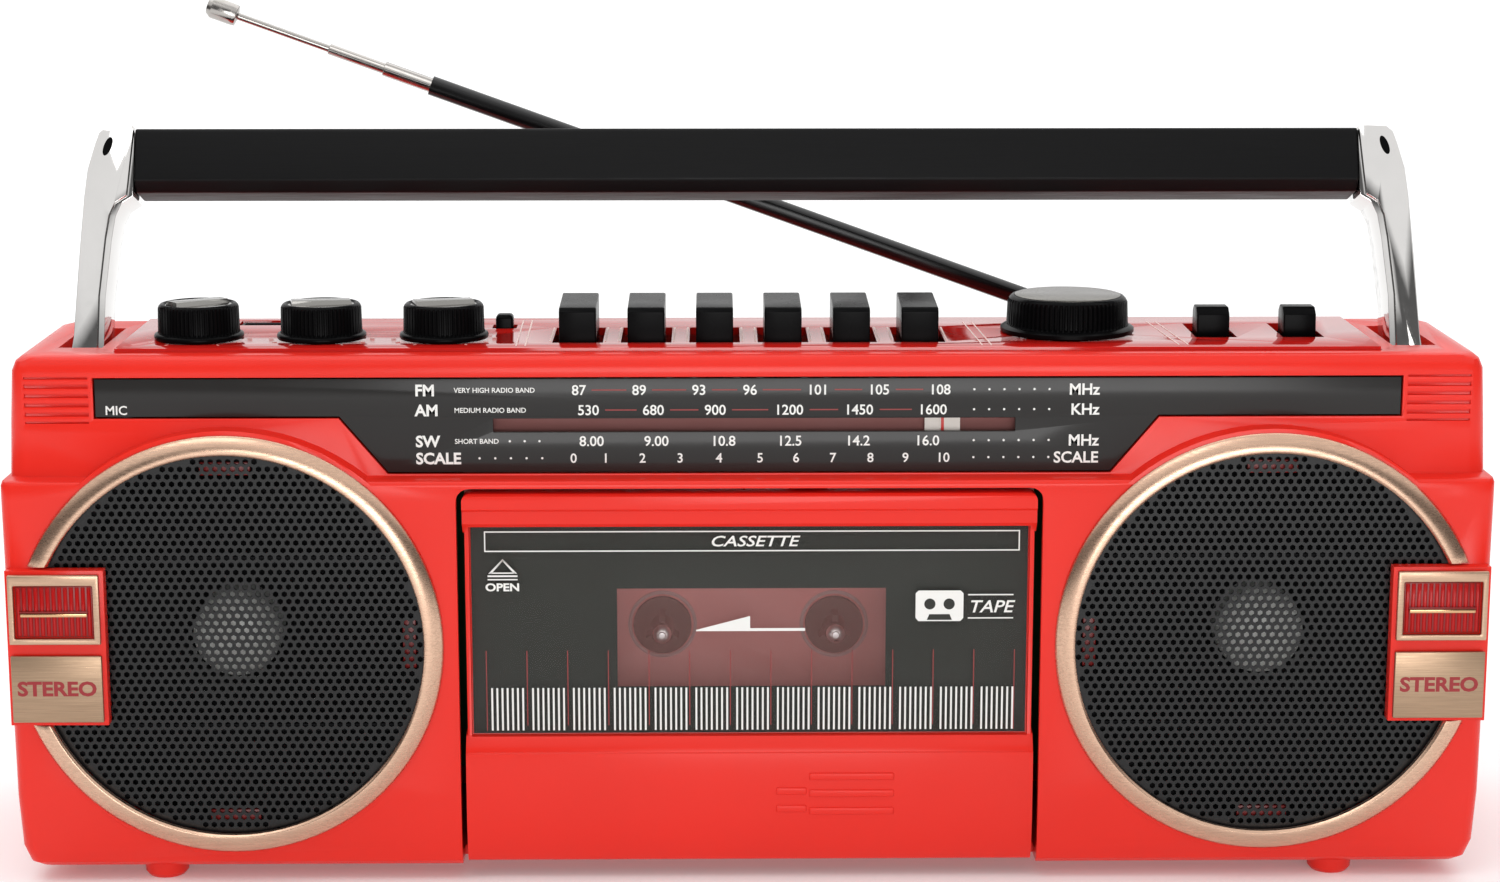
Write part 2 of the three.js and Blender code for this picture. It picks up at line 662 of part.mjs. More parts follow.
// ---- Handle ----------------------------------------------------------------------------
// Drawn upright with its pivot on the X axis, then leaned back.
function leaned(piece) {
  return piece.rotate([-HANDLE.lean, 0, 0]).translate([0, HANDLE.y, HANDLE.z]);
}
const ARM_STEP = 1.4;
function handleArm(side) {
  const half = HANDLE.depth / 2;
  // front view: splayed arm with a rounded outer shoulder that meets the end of the grip
  const outline = [
    [163.4, -half],
    [163.4, 6],
    [162.3, 14],
    [161.4, 34],
    [160.6, 48],
    [159.9, 55],
    [158.3, 61],
    [157.3, 64],
    [155.8, 65.3],
    [149.1, 65.6],
    [149.1, 48.6],
    [151.8, 46.8],
    [153.2, 43.6],
    [154, 38],
    [155.2, 24],
    [155.4, -half],
  ];
  // the inner edge stands back from the face as a narrow step
  const innerEdge = 9;
  const face = outline.map(([x, z], i) => [i > innerEdge ? x + ARM_STEP : x, z]);
  const sided = (points) => {
    const placed = points.map(([x, z]) => [side * x, z]);
    return side > 0 ? placed : placed.reverse();
  };
  const blade = join(
    plate(sided(outline), -half + 1 + ARM_STEP, half - 1 - ARM_STEP),
    plate(sided(face), -half + 1, half - 1),
  );
  const rounding = rodX(half, 0, 0, side > 0 ? 140 : -170, side > 0 ? 170 : -140, 24);
  const above = box(-FAR, FAR, -half, half, 0, FAR);
  const pin = rodX(3, 0, 0, side * 165 - 3, side * 165 + 3, 16);
  return join(blade.intersect(join(rounding, above)), pin);
}
function makeGrip() {
  const { gripHalf } = HANDLE;
  const section = [
    [-7, 52.4],
    [-4.2, 49.8],
    [5.8, 49.7],
    [8, 52],
    [8, 64],
    [7, 65.2],
    [-6.4, 65.2],
    [-7, 64.7],
  ];
  return profileX(section, -gripHalf, gripHalf);
}

// ---- Antenna ---------------------------------------------------------------------------
// Lengths are measured from the tilt pivot along the mast.
const MAST = [
  { name: "antenna_tube", from: 3.6, to: 164.8, outer: 2.5, inner: 2.1 },
  { name: "antenna_section_a", from: 30, to: 177.3, outer: 1.85, inner: 1.6 },
  { name: "antenna_section_b", from: 48, to: 192, outer: 1.4, inner: 1.12 },
];
const ROD = { from: 75, to: 216.2, radius: 0.92, cap: 224.2 };

function mastPiece(profile, sides) {
  const shape = turned(profile, sides).rotateX(Math.PI / 2);
  const rise = ((90 - ANTENNA.rise) * Math.PI) / 180;
  return solid(shape.rotateY(-rise).translate(ANTENNA.x, ANTENNA.y, ANTENNA.z));
}
function mastTube({ from, to, outer, inner }) {
  const profile = [
    [inner, from + 2],
    [0, from + 2],
    [0, from],
    [outer, from],
    [outer, to],
    [inner, to],
    [inner, from + 2],
  ];
  return mastPiece(profile, 12);
}
function tubeWithEar(section) {
  const eye = rodY(3, ANTENNA.x, ANTENNA.z, ANTENNA.y - 1.4, ANTENNA.y + 1.4, 16);
  const neck = mastPiece([[0, -1], [1.4, -1], [1.4, 4], [0, 4]], 12);
  return join(mastTube(section), eye, neck);
}
function mastRod() {
  const { from, to, radius, cap } = ROD;
  const profile = [
    [0, from],
    [radius, from],
    [radius, to],
    [2.6, to + 0.3],
    [2.75, to + 1.5],
    [2.75, cap - 1.2],
    [1.8, cap],
    [0, cap],
  ];
  return mastPiece(profile, 12);
}
function antennaBase() {
  const { x, y, z } = ANTENNA;
  const profile = [
    [0, 116],
    [1.9, 116],
    [1.9, 123.9],
    [6, 123.9],
    [6, 126],
    [0, 126],
  ];
  const turret = standing(turned(profile, 20), x, y);
  const ears = cut(
    join(box(x - 3, x + 3, y - 4, y + 4, 125, z), rodY(3, x, z, y - 4, y + 4, 16)),
    box(x - 5, x + 5, y - 1.8, y + 1.8, 126.4, z + 6),
  );
  return join(turret, ears);
}

// ---- Inner pieces ----------------------------------------------------------------------
function makeMainBoard() {
  return join(
    box(-96, 96, 7, 8.6, 14, 98),
    box(-80, -62, 8.4, 12, 60, 78),
    box(30, 56, 8.4, 11, 24, 40),
    rodY(6, -40, 30, 8.4, 15.5, 12),
    rodY(6, -22, 30, 8.4, 15.5, 12),
    rodY(4, 70, 80, 8.4, 14.5, 12),
    box(66, 90, 8.4, 14, 52, 62),
  );
}
function makeControlBoard() {
  let board = cut(
    box(-142, 146, -28, 12, 110, 111.6),
    box(-54, 54, -30, 1, 109, 113),
    box(63, 93, -24, 7, 109, 113),
  );
  for (const x of KNOB_X) board = join(board, box(x - 8, x + 8, KNOB_Y - 8, KNOB_Y + 6, 111, 120.3));
  for (const x of Object.values(LEVER_X))
    board = join(board, box(x - 6, x + 6, LEVER.front - 6, LEVER.back + 9, 111, 121.1));
  return join(board, box(BUTTON.x - 3, BUTTON.x + 3, BUTTON.y - 3, BUTTON.y + 3, 111, 121));
}
function makeTransformer() {
  const core = box(-122, -84, 20, 44, 14, 40);
  const winding = box(-115, -91, 18, 45, 18, 36);
  const bracket = box(-125, -81, 26, 38, 9, 14.2);
  return join(core, winding, bracket);
}
function makeBatteryContact() {
  const spring = (z) =>
    solid(
      turned([[0, 0], [7, 0], [7, 2], [5, 2.2], [5, 4.4], [3, 4.6], [3, 6.5], [0, 6.5]], 16)
        .rotateZ(-Math.PI / 2)
        .translate(-BATTERY.halfWidth + 1.2, 33, z),
    );
  const x = -BATTERY.halfWidth;
  return join(box(x + 0.4, x + 1.4, 22, 44, 16, 68), spring(28), spring(56));
}
function makeInlet() {
  return cut(
    box(110.3, 129.7, BACK - 12, BACK - 0.4, 20.3, 31.7),
    rodY(3.4, 117, 26, BACK - 9, BACK + 2, 16),
    rodY(3.4, 123, 26, BACK - 9, BACK + 2, 16),
    box(117, 123, BACK - 9, BACK + 2, 22.6, 29.4),
  );
}
const makeMicrophone = () => rodY(4.8, -148.7, 117, UPPER_FRONT + 5.4, UPPER_FRONT + 7.7, 20);
function makeUsbPort() {
  return cut(box(-126, -112, 4, 11, 121.5, 128.4), box(-125.2, -112.8, 5.4, 9.8, 123, 130));
}

// ---- Assembly --------------------------------------------------------------------------
const boombox = new THREE.Group();

function add(name, piece, material) {
  const made = piece.getMesh();
  const geometry = new THREE.BufferGeometry();
  geometry.setAttribute("position", new THREE.BufferAttribute(made.vertProperties, 3));
  geometry.setIndex(new THREE.BufferAttribute(made.triVerts, 1));
  const flat = geometry.toNonIndexed();
  flat.computeVertexNormals();
  const mesh = new THREE.Mesh(flat, material);
  mesh.name = name;
  boombox.add(mesh);
}

add("front_shell", makeFrontShell(), RED);
add("rear_shell", makeRearShell(), RED);
add("top_deck", makeDeck(), RED);
add(
  "battery_door",
  box(-57.2, 57.2, BACK - 2.3, BACK, BATTERY.bottom - 2.2, BATTERY.top + 2.2),
  RED,
);
add("dial_lens", makeLens(), SMOKE);
add("dial_plate", plate(dialOutline(-1), UPPER_FRONT + 4.1, UPPER_FRONT + 5.1), PAPER);
add("dial_pointer", makePointer(), RED_LENS);
add("tuning_knob", tuningKnob(), BLACK);
KNOB_X.forEach((x, i) => add(KNOB_NAMES[i], knob(x), BLACK));
KEY_NAMES.forEach((name, i) => add(name, pianoKey(keyX(i)), BLACK));
for (const [name, x] of Object.entries(LEVER_X)) add(name, lever(x), BLACK);
add(
  "power_button",
  box(BUTTON.x - 2.15, BUTTON.x + 2.15, BUTTON.y - 2.15, BUTTON.y + 2.15, 123.8, 132),
  BLACK,
);
for (const [word, side] of [["left", -1], ["right", 1]]) {
  add("speaker_ring_" + word, speakerRing(side), BRONZE);
  add("speaker_grille_" + word, speakerGrille(side), GRILLE);
  add("speaker_driver_" + word, speakerDriver(side), STEEL);
  add("badge_frame_" + word, badgeFrame(side), BRONZE);
  add("badge_lens_" + word, badgeLens(side), RED_LENS);
  add("badge_plate_" + word, badgePlate(side), BRONZE);
  add("handle_arm_" + word, leaned(handleArm(side)), CHROME);
}
add("door_frame", makeDoorFrame(), RED);
add(
  "door_window",
  box(-WINDOW.halfWidth, WINDOW.halfWidth, -40.2, -38.7, WINDOW.bottom, WINDOW.top),
  SMOKE,
);
add("cassette_holder", makeHolder(), BLACK);
add("deck_chassis", makeChassis(), STEEL);
add("supply_spindle", spindle(-REEL_X), BLACK);
add("takeup_spindle", spindle(REEL_X), BLACK);
add("head_bridge", makeHeadBridge(), STEEL);
add("tape_head", tapeHead(), STEEL);
add("pinch_roller", pinchRoller(), RUBBER);
add("capstan_flywheel", capstan(), STEEL);
add("drive_belt", makeBelt(), RUBBER);
add("tape_motor", makeMotor(), STEEL);
add("handle_grip", leaned(makeGrip()), BLACK);
add("antenna_base", antennaBase(), CHROME);
add("antenna_tube", tubeWithEar(MAST[0]), BLACK);
MAST.slice(1).forEach((section) => add(section.name, mastTube(section), CHROME));
add("antenna_rod", mastRod(), CHROME);
add("circuit_board", makeMainBoard(), BOARD);
add("control_board", makeControlBoard(), BOARD);
add("tuning_capacitor", box(68, 88, -18.5, 1.5, 106, 120.3), PAPER);
add("transformer", makeTransformer(), STEEL);
add("battery_contact", makeBatteryContact(), STEEL);
add("ac_inlet", makeInlet(), BLACK);
add("usb_port", makeUsbPort(), BLACK);
add("microphone", makeMicrophone(), STEEL);

export default boombox;
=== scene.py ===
import math

import bmesh
import bpy
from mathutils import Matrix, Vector


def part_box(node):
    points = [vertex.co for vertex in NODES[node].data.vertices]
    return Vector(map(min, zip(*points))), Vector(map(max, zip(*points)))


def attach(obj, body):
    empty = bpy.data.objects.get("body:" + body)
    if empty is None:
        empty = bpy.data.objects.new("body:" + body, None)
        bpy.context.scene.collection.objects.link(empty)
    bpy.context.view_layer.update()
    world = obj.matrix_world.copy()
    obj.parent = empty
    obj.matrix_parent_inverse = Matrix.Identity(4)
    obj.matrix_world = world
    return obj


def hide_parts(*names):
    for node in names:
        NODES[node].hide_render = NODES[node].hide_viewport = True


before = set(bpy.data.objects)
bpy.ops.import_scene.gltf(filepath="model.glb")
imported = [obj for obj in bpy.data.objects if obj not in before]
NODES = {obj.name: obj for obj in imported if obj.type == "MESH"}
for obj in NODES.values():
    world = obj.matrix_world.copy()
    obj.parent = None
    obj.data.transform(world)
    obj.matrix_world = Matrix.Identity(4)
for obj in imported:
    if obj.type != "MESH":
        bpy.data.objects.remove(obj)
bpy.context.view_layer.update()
MM = 0.001


# ---- Materials --------------------------------------------------------------------------
def srgb(r, g, b):
    """8-bit display colour to scene-linear."""
    def linear(c):
        return ((c / 255 + 0.055) / 1.055) ** 2.4 if c > 10 else c / 255 / 12.92

    return linear(r), linear(g), linear(b), 1.0


class Look:
    """A Principled material whose colour, gloss and relief vary with procedural noise."""

    def __init__(self, name, color, rough, metal=0.0, **sockets):
        self.mat = bpy.data.materials.new(name)
        self.mat.use_nodes = True
        self.tree = self.mat.node_tree
        self.shader = self.tree.nodes["Principled BSDF"]
        self.set("Base Color", color)
        self.set("Roughness", rough)
        self.set("Metallic", metal)
        for socket, value in sockets.items():
            self.set(socket.replace("_", " "), value)
        self.color = color
        self.where = self.tree.nodes.new("ShaderNodeTexCoord").outputs["Object"]
        self.normal = None

    def set(self, socket, value):
        """Gives one input of the shader a fixed value."""
        self.shader.inputs[socket].default_value = value

    def node(self, kind, **inputs):
        """A node whose inputs are either linked or set."""
        made = self.tree.nodes.new(kind)
        for key, value in inputs.items():
            socket = made.inputs[key.replace("_", " ")]
            if isinstance(value, bpy.types.NodeSocket):
                self.tree.links.new(value, socket)
            else:
                socket.default_value = value
        return made

    def noise(self, scale, stretch=(1, 1, 1), detail=3.0, roughness=0.55, distortion=0.0):
        """Noise over the surface; scale is in features per millimetre."""
        place = self.node("ShaderNodeMapping", Vector=self.where, Scale=[s * scale / MM for s in stretch])
        return self.node(
            "ShaderNodeTexNoise",
            Vector=place.outputs[0],
            Scale=1.0,
            Detail=detail,
            Roughness=roughness,
            Distortion=distortion,
        ).outputs["Fac"]

    def spread(self, fac, low, high, begin=0.3, end=0.7):
        """Maps begin..end of a factor to low..high."""
        made = self.node("ShaderNodeMapRange", Value=fac)
        made.inputs["From Min"].default_value = begin
        made.inputs["From Max"].default_value = end
        made.inputs["To Min"].default_value = low
        made.inputs["To Max"].default_value = high
        return made.outputs[0]

    def tint(self, fac, other, begin=0.3, end=0.7, amount=1.0):
        """Fades the base colour towards another one where fac is high."""
        mix = self.tree.nodes.new("ShaderNodeMix")
        mix.data_type = "RGBA"
        self.tree.links.new(self.spread(fac, 0.0, amount, begin, end), mix.inputs[0])
        linked = self.shader.inputs["Base Color"].links
        if linked:
            self.tree.links.new(linked[0].from_socket, mix.inputs[6])
        else:
            mix.inputs[6].default_value = self.color
        mix.inputs[7].default_value = other
        self.tree.links.new(mix.outputs[2], self.shader.inputs["Base Color"])
        return self

    def vary_rough(self, fac, low, high):
        """Lets the roughness run from low to high with a factor."""
        self.tree.links.new(self.spread(fac, low, high), self.shader.inputs["Roughness"])
        return self

    def relief(self, fac, height, strength=0.5):
        """Bump of about that many millimetres."""
        bump = self.node("ShaderNodeBump", Height=fac, Strength=strength, Distance=height * MM)
        if self.normal is not None:
            self.tree.links.new(self.normal, bump.inputs["Normal"])
        self.normal = bump.outputs[0]
        self.tree.links.new(self.normal, self.shader.inputs["Normal"])
        return self


def shade(color, factor):
    """The same colour, darker or lighter."""
    return tuple(min(1.0, c * factor) for c in color[:3]) + (1.0,)


def plastic(name, color, rough, grain=0.0, metal=0.0, **sockets):
    """Moulded plastic: slow colour drift, gloss that varies, and either orange peel or a fine grain."""
    made = Look(name, color, rough, metal, **sockets)
    made.tint(made.noise(0.02, detail=2), shade(color, 0.9), amount=0.5)
    made.vary_rough(made.noise(0.12, detail=3), rough * 0.92, rough * 1.1)
    made.relief(made.noise(0.05, detail=1), 0.1, 0.02)
    if grain:
        made.relief(made.noise(4.5, detail=2), grain, 0.5)
    return made


def brushed(name, color, rough, along, metal=1.0, depth=0.02, fine=6.0, contrast=0.8, **sockets):
    """Metal or paint with fine parallel lines along one axis."""
    stretch = [0.02 if axis == along else 1.0 for axis in "xyz"]
    made = Look(name, color, rough, metal, **sockets)
    lines = made.noise(fine, stretch, detail=4, roughness=0.7)
    made.tint(lines, shade(color, contrast), amount=1.0)
    made.vary_rough(lines, rough * 0.75, rough * 1.35)
    made.relief(lines, depth, 0.6)
    return made


def plated(name, color, rough=0.08, **sockets):
    """Bright plated metal with faint stains and a slightly wavy surface."""
    made = Look(name, color, rough, 1.0, **sockets)
    made.vary_rough(made.noise(0.5, detail=5), rough * 0.6, rough * 1.8)
    made.tint(made.noise(0.08), shade(color, 0.9), amount=0.5)
    made.relief(made.noise(0.25, detail=2), 0.05, 0.08)
    return made


RED = srgb(232, 44, 32)
DULL = {"Specular_IOR_Level": 0.12}
L = {}
L["red"] = plastic("red_plastic", RED, 0.24, Specular_IOR_Level=0.3)
L["deck_red"] = plastic("red_deck", srgb(206, 30, 24), 0.06, Specular_IOR_Level=0.6)
L["black"] = plastic("black_plastic", srgb(17, 17, 18), 0.36, **DULL)
L["black_gloss"] = plastic("black_gloss", srgb(8, 8, 9), 0.26, Specular_IOR_Level=0.05)
L["black_top"] = plastic("black_top", srgb(150, 148, 144), 0.12, metal=0.85)
L["black_matt"] = plastic("black_matt", srgb(20, 20, 21), 0.62, grain=0.02, **DULL)
L["lens"] = plastic("dial_smoke", srgb(43, 42, 41), 0.16, Specular_IOR_Level=0.25)
L["card"] = plastic("dial_card", srgb(146, 92, 88), 0.7)
L["grip"] = brushed(
    "grip_brushed_black", srgb(13, 13, 14), 0.42, "x", metal=0.0, depth=0.02, fine=3.0,
    contrast=0.6, Specular_IOR_Level=0.16,
)
L["chrome"] = plated("bright_chrome", srgb(222, 220, 218), 0.05)
L["bronze"] = brushed("bronze_plating", srgb(206, 172, 146), 0.3, "x", depth=0.012, fine=4.0, contrast=0.74)
L["ring"] = brushed("ring_plating", srgb(226, 188, 162), 0.26, "x", depth=0.014, fine=3.2, contrast=0.72)
L["mast"] = plated("mast_chrome", srgb(176, 172, 168), 0.16)
L["plate"] = brushed("plate_bronze", srgb(178, 150, 124), 0.34, "x", depth=0.014, fine=4.0, contrast=0.72)
L["gold"] = plated("gold_bar", srgb(214, 170, 128), 0.16)
L["steel"] = brushed("plated_steel", srgb(168, 170, 174), 0.3, "x", depth=0.008, fine=5.0, contrast=0.85)
L["silver"] = plated("silver_cap", srgb(250, 250, 250), 0.34)
# white diffuse colour that stands in for the polished metal cap's bright reflection: painted reflection
L["dome"] = plastic("dust_cap_painted_reflection", srgb(254, 254, 250), 0.3, Specular_IOR_Level=0.8)
L["grille"] = plastic("grille_paint", srgb(13, 13, 14), 0.3, Specular_IOR_Level=0.4)
L["cone"] = plastic("speaker_paper", srgb(26, 26, 28), 0.75, grain=0.05, **DULL)
L["rubber"] = plastic("rubber", srgb(18, 18, 18), 0.85, grain=0.03, **DULL)
L["pointer"] = plastic("pointer_pale", srgb(232, 222, 214), 0.4)
L["pointer_line"] = plastic("pointer_line", srgb(206, 40, 34), 0.4)
L["badge"] = plastic("badge_red", srgb(178, 14, 14), 0.18, Specular_IOR_Level=0.3)
L["ink"] = plastic("white_print", srgb(236, 236, 232), 0.5)
L["ink_deck"] = plastic("deck_print", srgb(246, 214, 206), 0.5)
L["ink_red"] = plastic("red_print", srgb(146, 52, 50), 0.5)
L["ink_bass"] = plastic("dark_red_print", srgb(150, 28, 34), 0.45)
L["board"] = plastic("board_lacquer", srgb(30, 92, 50), 0.35, grain=0.02)
L["antenna_black"] = plastic("antenna_black", srgb(13, 13, 14), 0.25, Specular_IOR_Level=0.35)
L["dark_red"] = plastic("dark_red", srgb(130, 16, 14), 0.35)
# the chassis's pink, made lighter than its own colour to stand in for light the closed compartment lacks:
# partly painted light
L["chassis"] = plastic("chassis_pink_and_painted_light", srgb(236, 150, 146), 0.5)
L["halo"] = plastic("reel_halo", srgb(196, 168, 166), 0.5)
L["reel"] = plastic("reel_grey", srgb(62, 62, 58), 0.5, **DULL)


def film(name, color, alpha, rough):
    """Clear or tinted plastic that the pieces behind show through."""
    made = plastic(name, color, rough, Specular_IOR_Level=0.3)
    made.set("Alpha", alpha)
    return made


L["window_clear"] = film("window_clear", srgb(70, 70, 68), 0.04, 0.14)
L["window_paint"] = plastic("window_paint", srgb(56, 57, 53), 0.3, **DULL)
L["window_tint"] = film("window_tint", srgb(196, 140, 134), 0.12, 0.3)


# ---- Shape helpers ----------------------------------------------------------------------
def smooth_group():
    """Geometry nodes that shade smooth but keep edges sharper than an angle."""
    group = bpy.data.node_groups.new("smooth_by_angle", "GeometryNodeTree")
    group.interface.new_socket("Geometry", in_out="INPUT", socket_type="NodeSocketGeometry")
    group.interface.new_socket("Angle", in_out="INPUT", socket_type="NodeSocketFloat")
    group.interface.new_socket("Geometry", in_out="OUTPUT", socket_type="NodeSocketGeometry")
    new = group.nodes.new
    source, result = new("NodeGroupInput"), new("NodeGroupOutput")
    faces, edges = new("GeometryNodeSetShadeSmooth"), new("GeometryNodeSetShadeSmooth")
    edges.domain = "EDGE"
    angle, compare = new("GeometryNodeInputMeshEdgeAngle"), new("FunctionNodeCompare")
    compare.operation = "LESS_EQUAL"
    link = group.links.new
    link(source.outputs[0], faces.inputs["Geometry"])
    link(angle.outputs[0], compare.inputs[0])
    link(source.outputs[1], compare.inputs[1])
    link(faces.outputs[0], edges.inputs["Geometry"])
    link(compare.outputs[0], edges.inputs["Shade Smooth"])
    link(edges.outputs[0], result.inputs[0])
    return group


SMOOTH = smooth_group()


EDGE_LIMIT = math.radians(30)  # edges sharper than this get rounded
ANGLE_INPUT = next(item.identifier for item in SMOOTH.interface.items_tree if item.name == "Angle")


def finish_surface(obj, bevel=0.0, segments=2, sharp=35):
    """Rounds the hard edges, in millimetres, and shades the rest smooth."""
    if bevel:
        mod = obj.modifiers.new("edge", "BEVEL")
        mod.width = bevel * MM
        mod.segments = segments
        mod.limit_method = "ANGLE"
        mod.angle_limit = EDGE_LIMIT
        mod.miter_outer = "MITER_ARC"
    mod = obj.modifiers.new("smooth", "NODES")
    mod.node_group = SMOOTH
    mod[ANGLE_INPUT] = math.radians(sharp)


def dress(node, look, bevel=0.25, segments=2, sharp=35):
    """A CAD node keeps its shape and gets a material and rounded edges."""
    obj = NODES[node]
    obj.data.materials.clear()
    obj.data.materials.append(L[look].mat)
    weld = obj.modifiers.new("weld", "WELD")
    weld.merge_threshold = 2e-6
    finish_surface(obj, bevel, segments, sharp)


BOX_FACES = [(0, 1, 3, 2), (4, 6, 7, 5), (0, 4, 5, 1), (2, 3, 7, 6), (0, 2, 6, 4), (1, 5, 7, 3)]
SLAB_FACES = [(0, 3, 2, 1), (4, 5, 6, 7), (0, 1, 5, 4), (1, 2, 6, 5), (2, 3, 7, 6), (3, 0, 4, 7)]


class Shape:
    """Vertices in millimetres and faces, gathered before they become one object."""

    def __init__(self):
        self.verts = []
        self.faces = []

    def add(self, verts, faces):
        base = len(self.verts)
        self.verts += [tuple(v) for v in verts]
        self.faces += [[i + base for i in face] for face in faces]
        return self

    def box(self, x0, x1, y0, y1, z0, z1):
        """A block between two values of each axis."""
        return self.add([(x, y, z) for x in (x0, x1) for y in (y0, y1) for z in (z0, z1)], BOX_FACES)

    def slab(self, lower, upper):
        """A block between four points and the four above them."""
        return self.add(list(lower) + list(upper), SLAB_FACES)

    def prism(self, outline, y0, y1):
        """An outline in X and Z from y0 back to y1."""
        n = len(outline)
        verts = [(x, y, z) for y in (y0, y1) for x, z in outline]
        sides = [(i, (i + 1) % n, n + (i + 1) % n, n + i) for i in range(n)]
        return self.add(verts, [tuple(range(n)), tuple(reversed(range(n, 2 * n)))] + sides)

    def lathe(self, profile, centre, axis="z", segments=48, radius=None):
        """Turns [radius, height] points; radius(r, height, angle) may change each point."""
        rings, verts, faces = [], [], []
        for r, h in profile:
            ring = []
            count = 1 if r == 0 else segments
            for i in range(count):
                angle = 2 * math.pi * i / segments
                reach = radius(r, h, angle) if radius and r else r
                a, b = reach * math.cos(angle), reach * math.sin(angle)
                ring.append(len(verts))
                verts.append(place(centre, axis, a, b, h))
            rings.append(ring)
        for low, high in zip(rings, rings[1:]):
            for i in range(segments):
                j = (i + 1) % segments
                face = [low[i % len(low)], low[j % len(low)], high[j % len(high)], high[i % len(high)]]
                face = list(dict.fromkeys(face))
                if len(face) > 2:
                    faces.append(face)
        return self.add(verts, faces)

    def turn(self, angle, centre, start=0):
        """Turns the vertices from number `start` about a vertical line, in degrees."""
        c, s = math.cos(math.radians(angle)), math.sin(math.radians(angle))
        cx, cy = centre
        for i in range(start, len(self.verts)):
            x, y, z = self.verts[i]
            self.verts[i] = (cx + (x - cx) * c - (y - cy) * s, cy + (x - cx) * s + (y - cy) * c, z)
        return self

    def piece(self, name, body, look, bevel=0.0, segments=2, sharp=35, replaces=()):
        """Makes the object, which rides a body and takes its material from the looks."""
        mesh = bpy.data.meshes.new(name)
        mesh.from_pydata([(x * MM, y * MM, z * MM) for x, y, z in self.verts], [], self.faces)
        bm = bmesh.new()
        bm.from_mesh(mesh)
        bmesh.ops.remove_doubles(bm, verts=bm.verts, dist=1e-7)
        bmesh.ops.recalc_face_normals(bm, faces=bm.faces)
        bm.to_mesh(mesh)
        bm.free()
        obj = bpy.data.objects.new(name, mesh)
        bpy.context.scene.collection.objects.link(obj)
        mesh.materials.append(L[look].mat)
        finish_surface(obj, bevel, segments, sharp)
        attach(obj, body)
        if replaces:
            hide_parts(*replaces)


def place(centre, axis, a, b, h):
    """A point a, b across the turning axis and h along it."""
    cx, cy = centre
    return (cx + a, cy + b, h) if axis == "z" else (cx + a, h, cy + b)


def cad(node):
    """A CAD node's box in millimetres: (x0, x1, y0, y1, z0, z1)."""
    low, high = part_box(node)
    return (low.x / MM, high.x / MM, low.y / MM, high.y / MM, low.z / MM, high.z / MM)


def middle(node):
    """The middle of a CAD node's box in millimetres."""
    x0, x1, y0, y1, z0, z1 = cad(node)
    return (x0 + x1) / 2, (y0 + y1) / 2, (z0 + z1) / 2


# ---- Lettering --------------------------------------------------------------------------
INK_DEPTH = 0.05
CAPITAL = 0.69  # height of the font's capitals at size 1
FONT_EXTRUDE = 0.02


def write(shape, words, x, z, height, y, align="CENTER", slant=0.0, bold=0.012, wide=1.0):
    """Adds flat lettering to a shape; z is the middle of the capitals, height their height."""
    curve = bpy.data.curves.new("lettering", "FONT")
    curve.body = words
    curve.align_x = align
    curve.size = 1.0
    curve.offset = bold
    curve.shear = slant
    curve.extrude = FONT_EXTRUDE
    curve.resolution_u = 3
    holder = bpy.data.objects.new("lettering", curve)
    bpy.context.scene.collection.objects.link(holder)
    bpy.context.view_layer.update()
    made = holder.evaluated_get(bpy.context.evaluated_depsgraph_get()).to_mesh()
    scale = height / CAPITAL
    verts = []
    for vertex in made.vertices:
        across, up, out = vertex.co
        depth = INK_DEPTH / 2 + out / FONT_EXTRUDE * INK_DEPTH / 2
        verts.append((x + across * scale * wide, y - depth, z - height / 2 + up * scale))
    shape.add(verts, [list(p.vertices) for p in made.polygons])
    bpy.data.objects.remove(holder)
    bpy.data.curves.remove(curve)


def ellipse(half_x, half_z, sides):
    """Points of an outline in X and Z about the origin."""
    turns = [2 * math.pi * i / sides for i in range(sides)]
    return [(half_x * math.cos(a), half_z * math.sin(a)) for a in turns]


def circle(x, z, radius, sides):
    """Points of an outline in X and Z about x, z."""
    return [(x + a, z + b) for a, b in ellipse(radius, radius, sides)]


def bar(shape, x0, x1, z0, z1, y):
    """A flat printed rectangle."""
    shape.box(x0, x1, y - INK_DEPTH, y, z0, z1)


def dots(shape, xs, z, y, size=0.28):
    """A row of printed dots."""
    for x in xs:
        shape.prism(circle(x, z, size, 8), y - INK_DEPTH, y)


def outline_box(shape, x0, x1, z0, z1, y, w=0.3):
    """A printed frame of four lines."""
    bar(shape, x0, x1, z0, z0 + w, y)
    bar(shape, x0, x1, z1 - w, z1, y)
    bar(shape, x0, x0 + w, z0 + w, z1 - w, y)
    bar(shape, x1 - w, x1, z0 + w, z1 - w, y)


# ---- Cabinet ----------------------------------------------------------------------------
dress("front_shell", "red", 0.35)
dress("rear_shell", "red", 0.35)
dress("top_deck", "deck_red", 0.2)
dress("battery_door", "red", 0.4)

# ---- Dial -------------------------------------------------------------------------------
dress("dial_lens", "lens", 0.15)
dress("dial_plate", "card", 0.1)
dress("dial_pointer", "pointer", 0.1)
px0, px1, py0, _, pz0, pz1 = cad("dial_pointer")
pointer_x = (px0 + px1) / 2
hair = Shape()
hair.box(pointer_x - 0.35, pointer_x + 0.35, py0 - 0.1, py0 + 0.5, pz0 + 0.3, pz1 - 0.3)
hair.piece("pointer_hairline", "pointer", "pointer_line", bevel=0.05)
DIAL_Y = cad("dial_lens")[2]
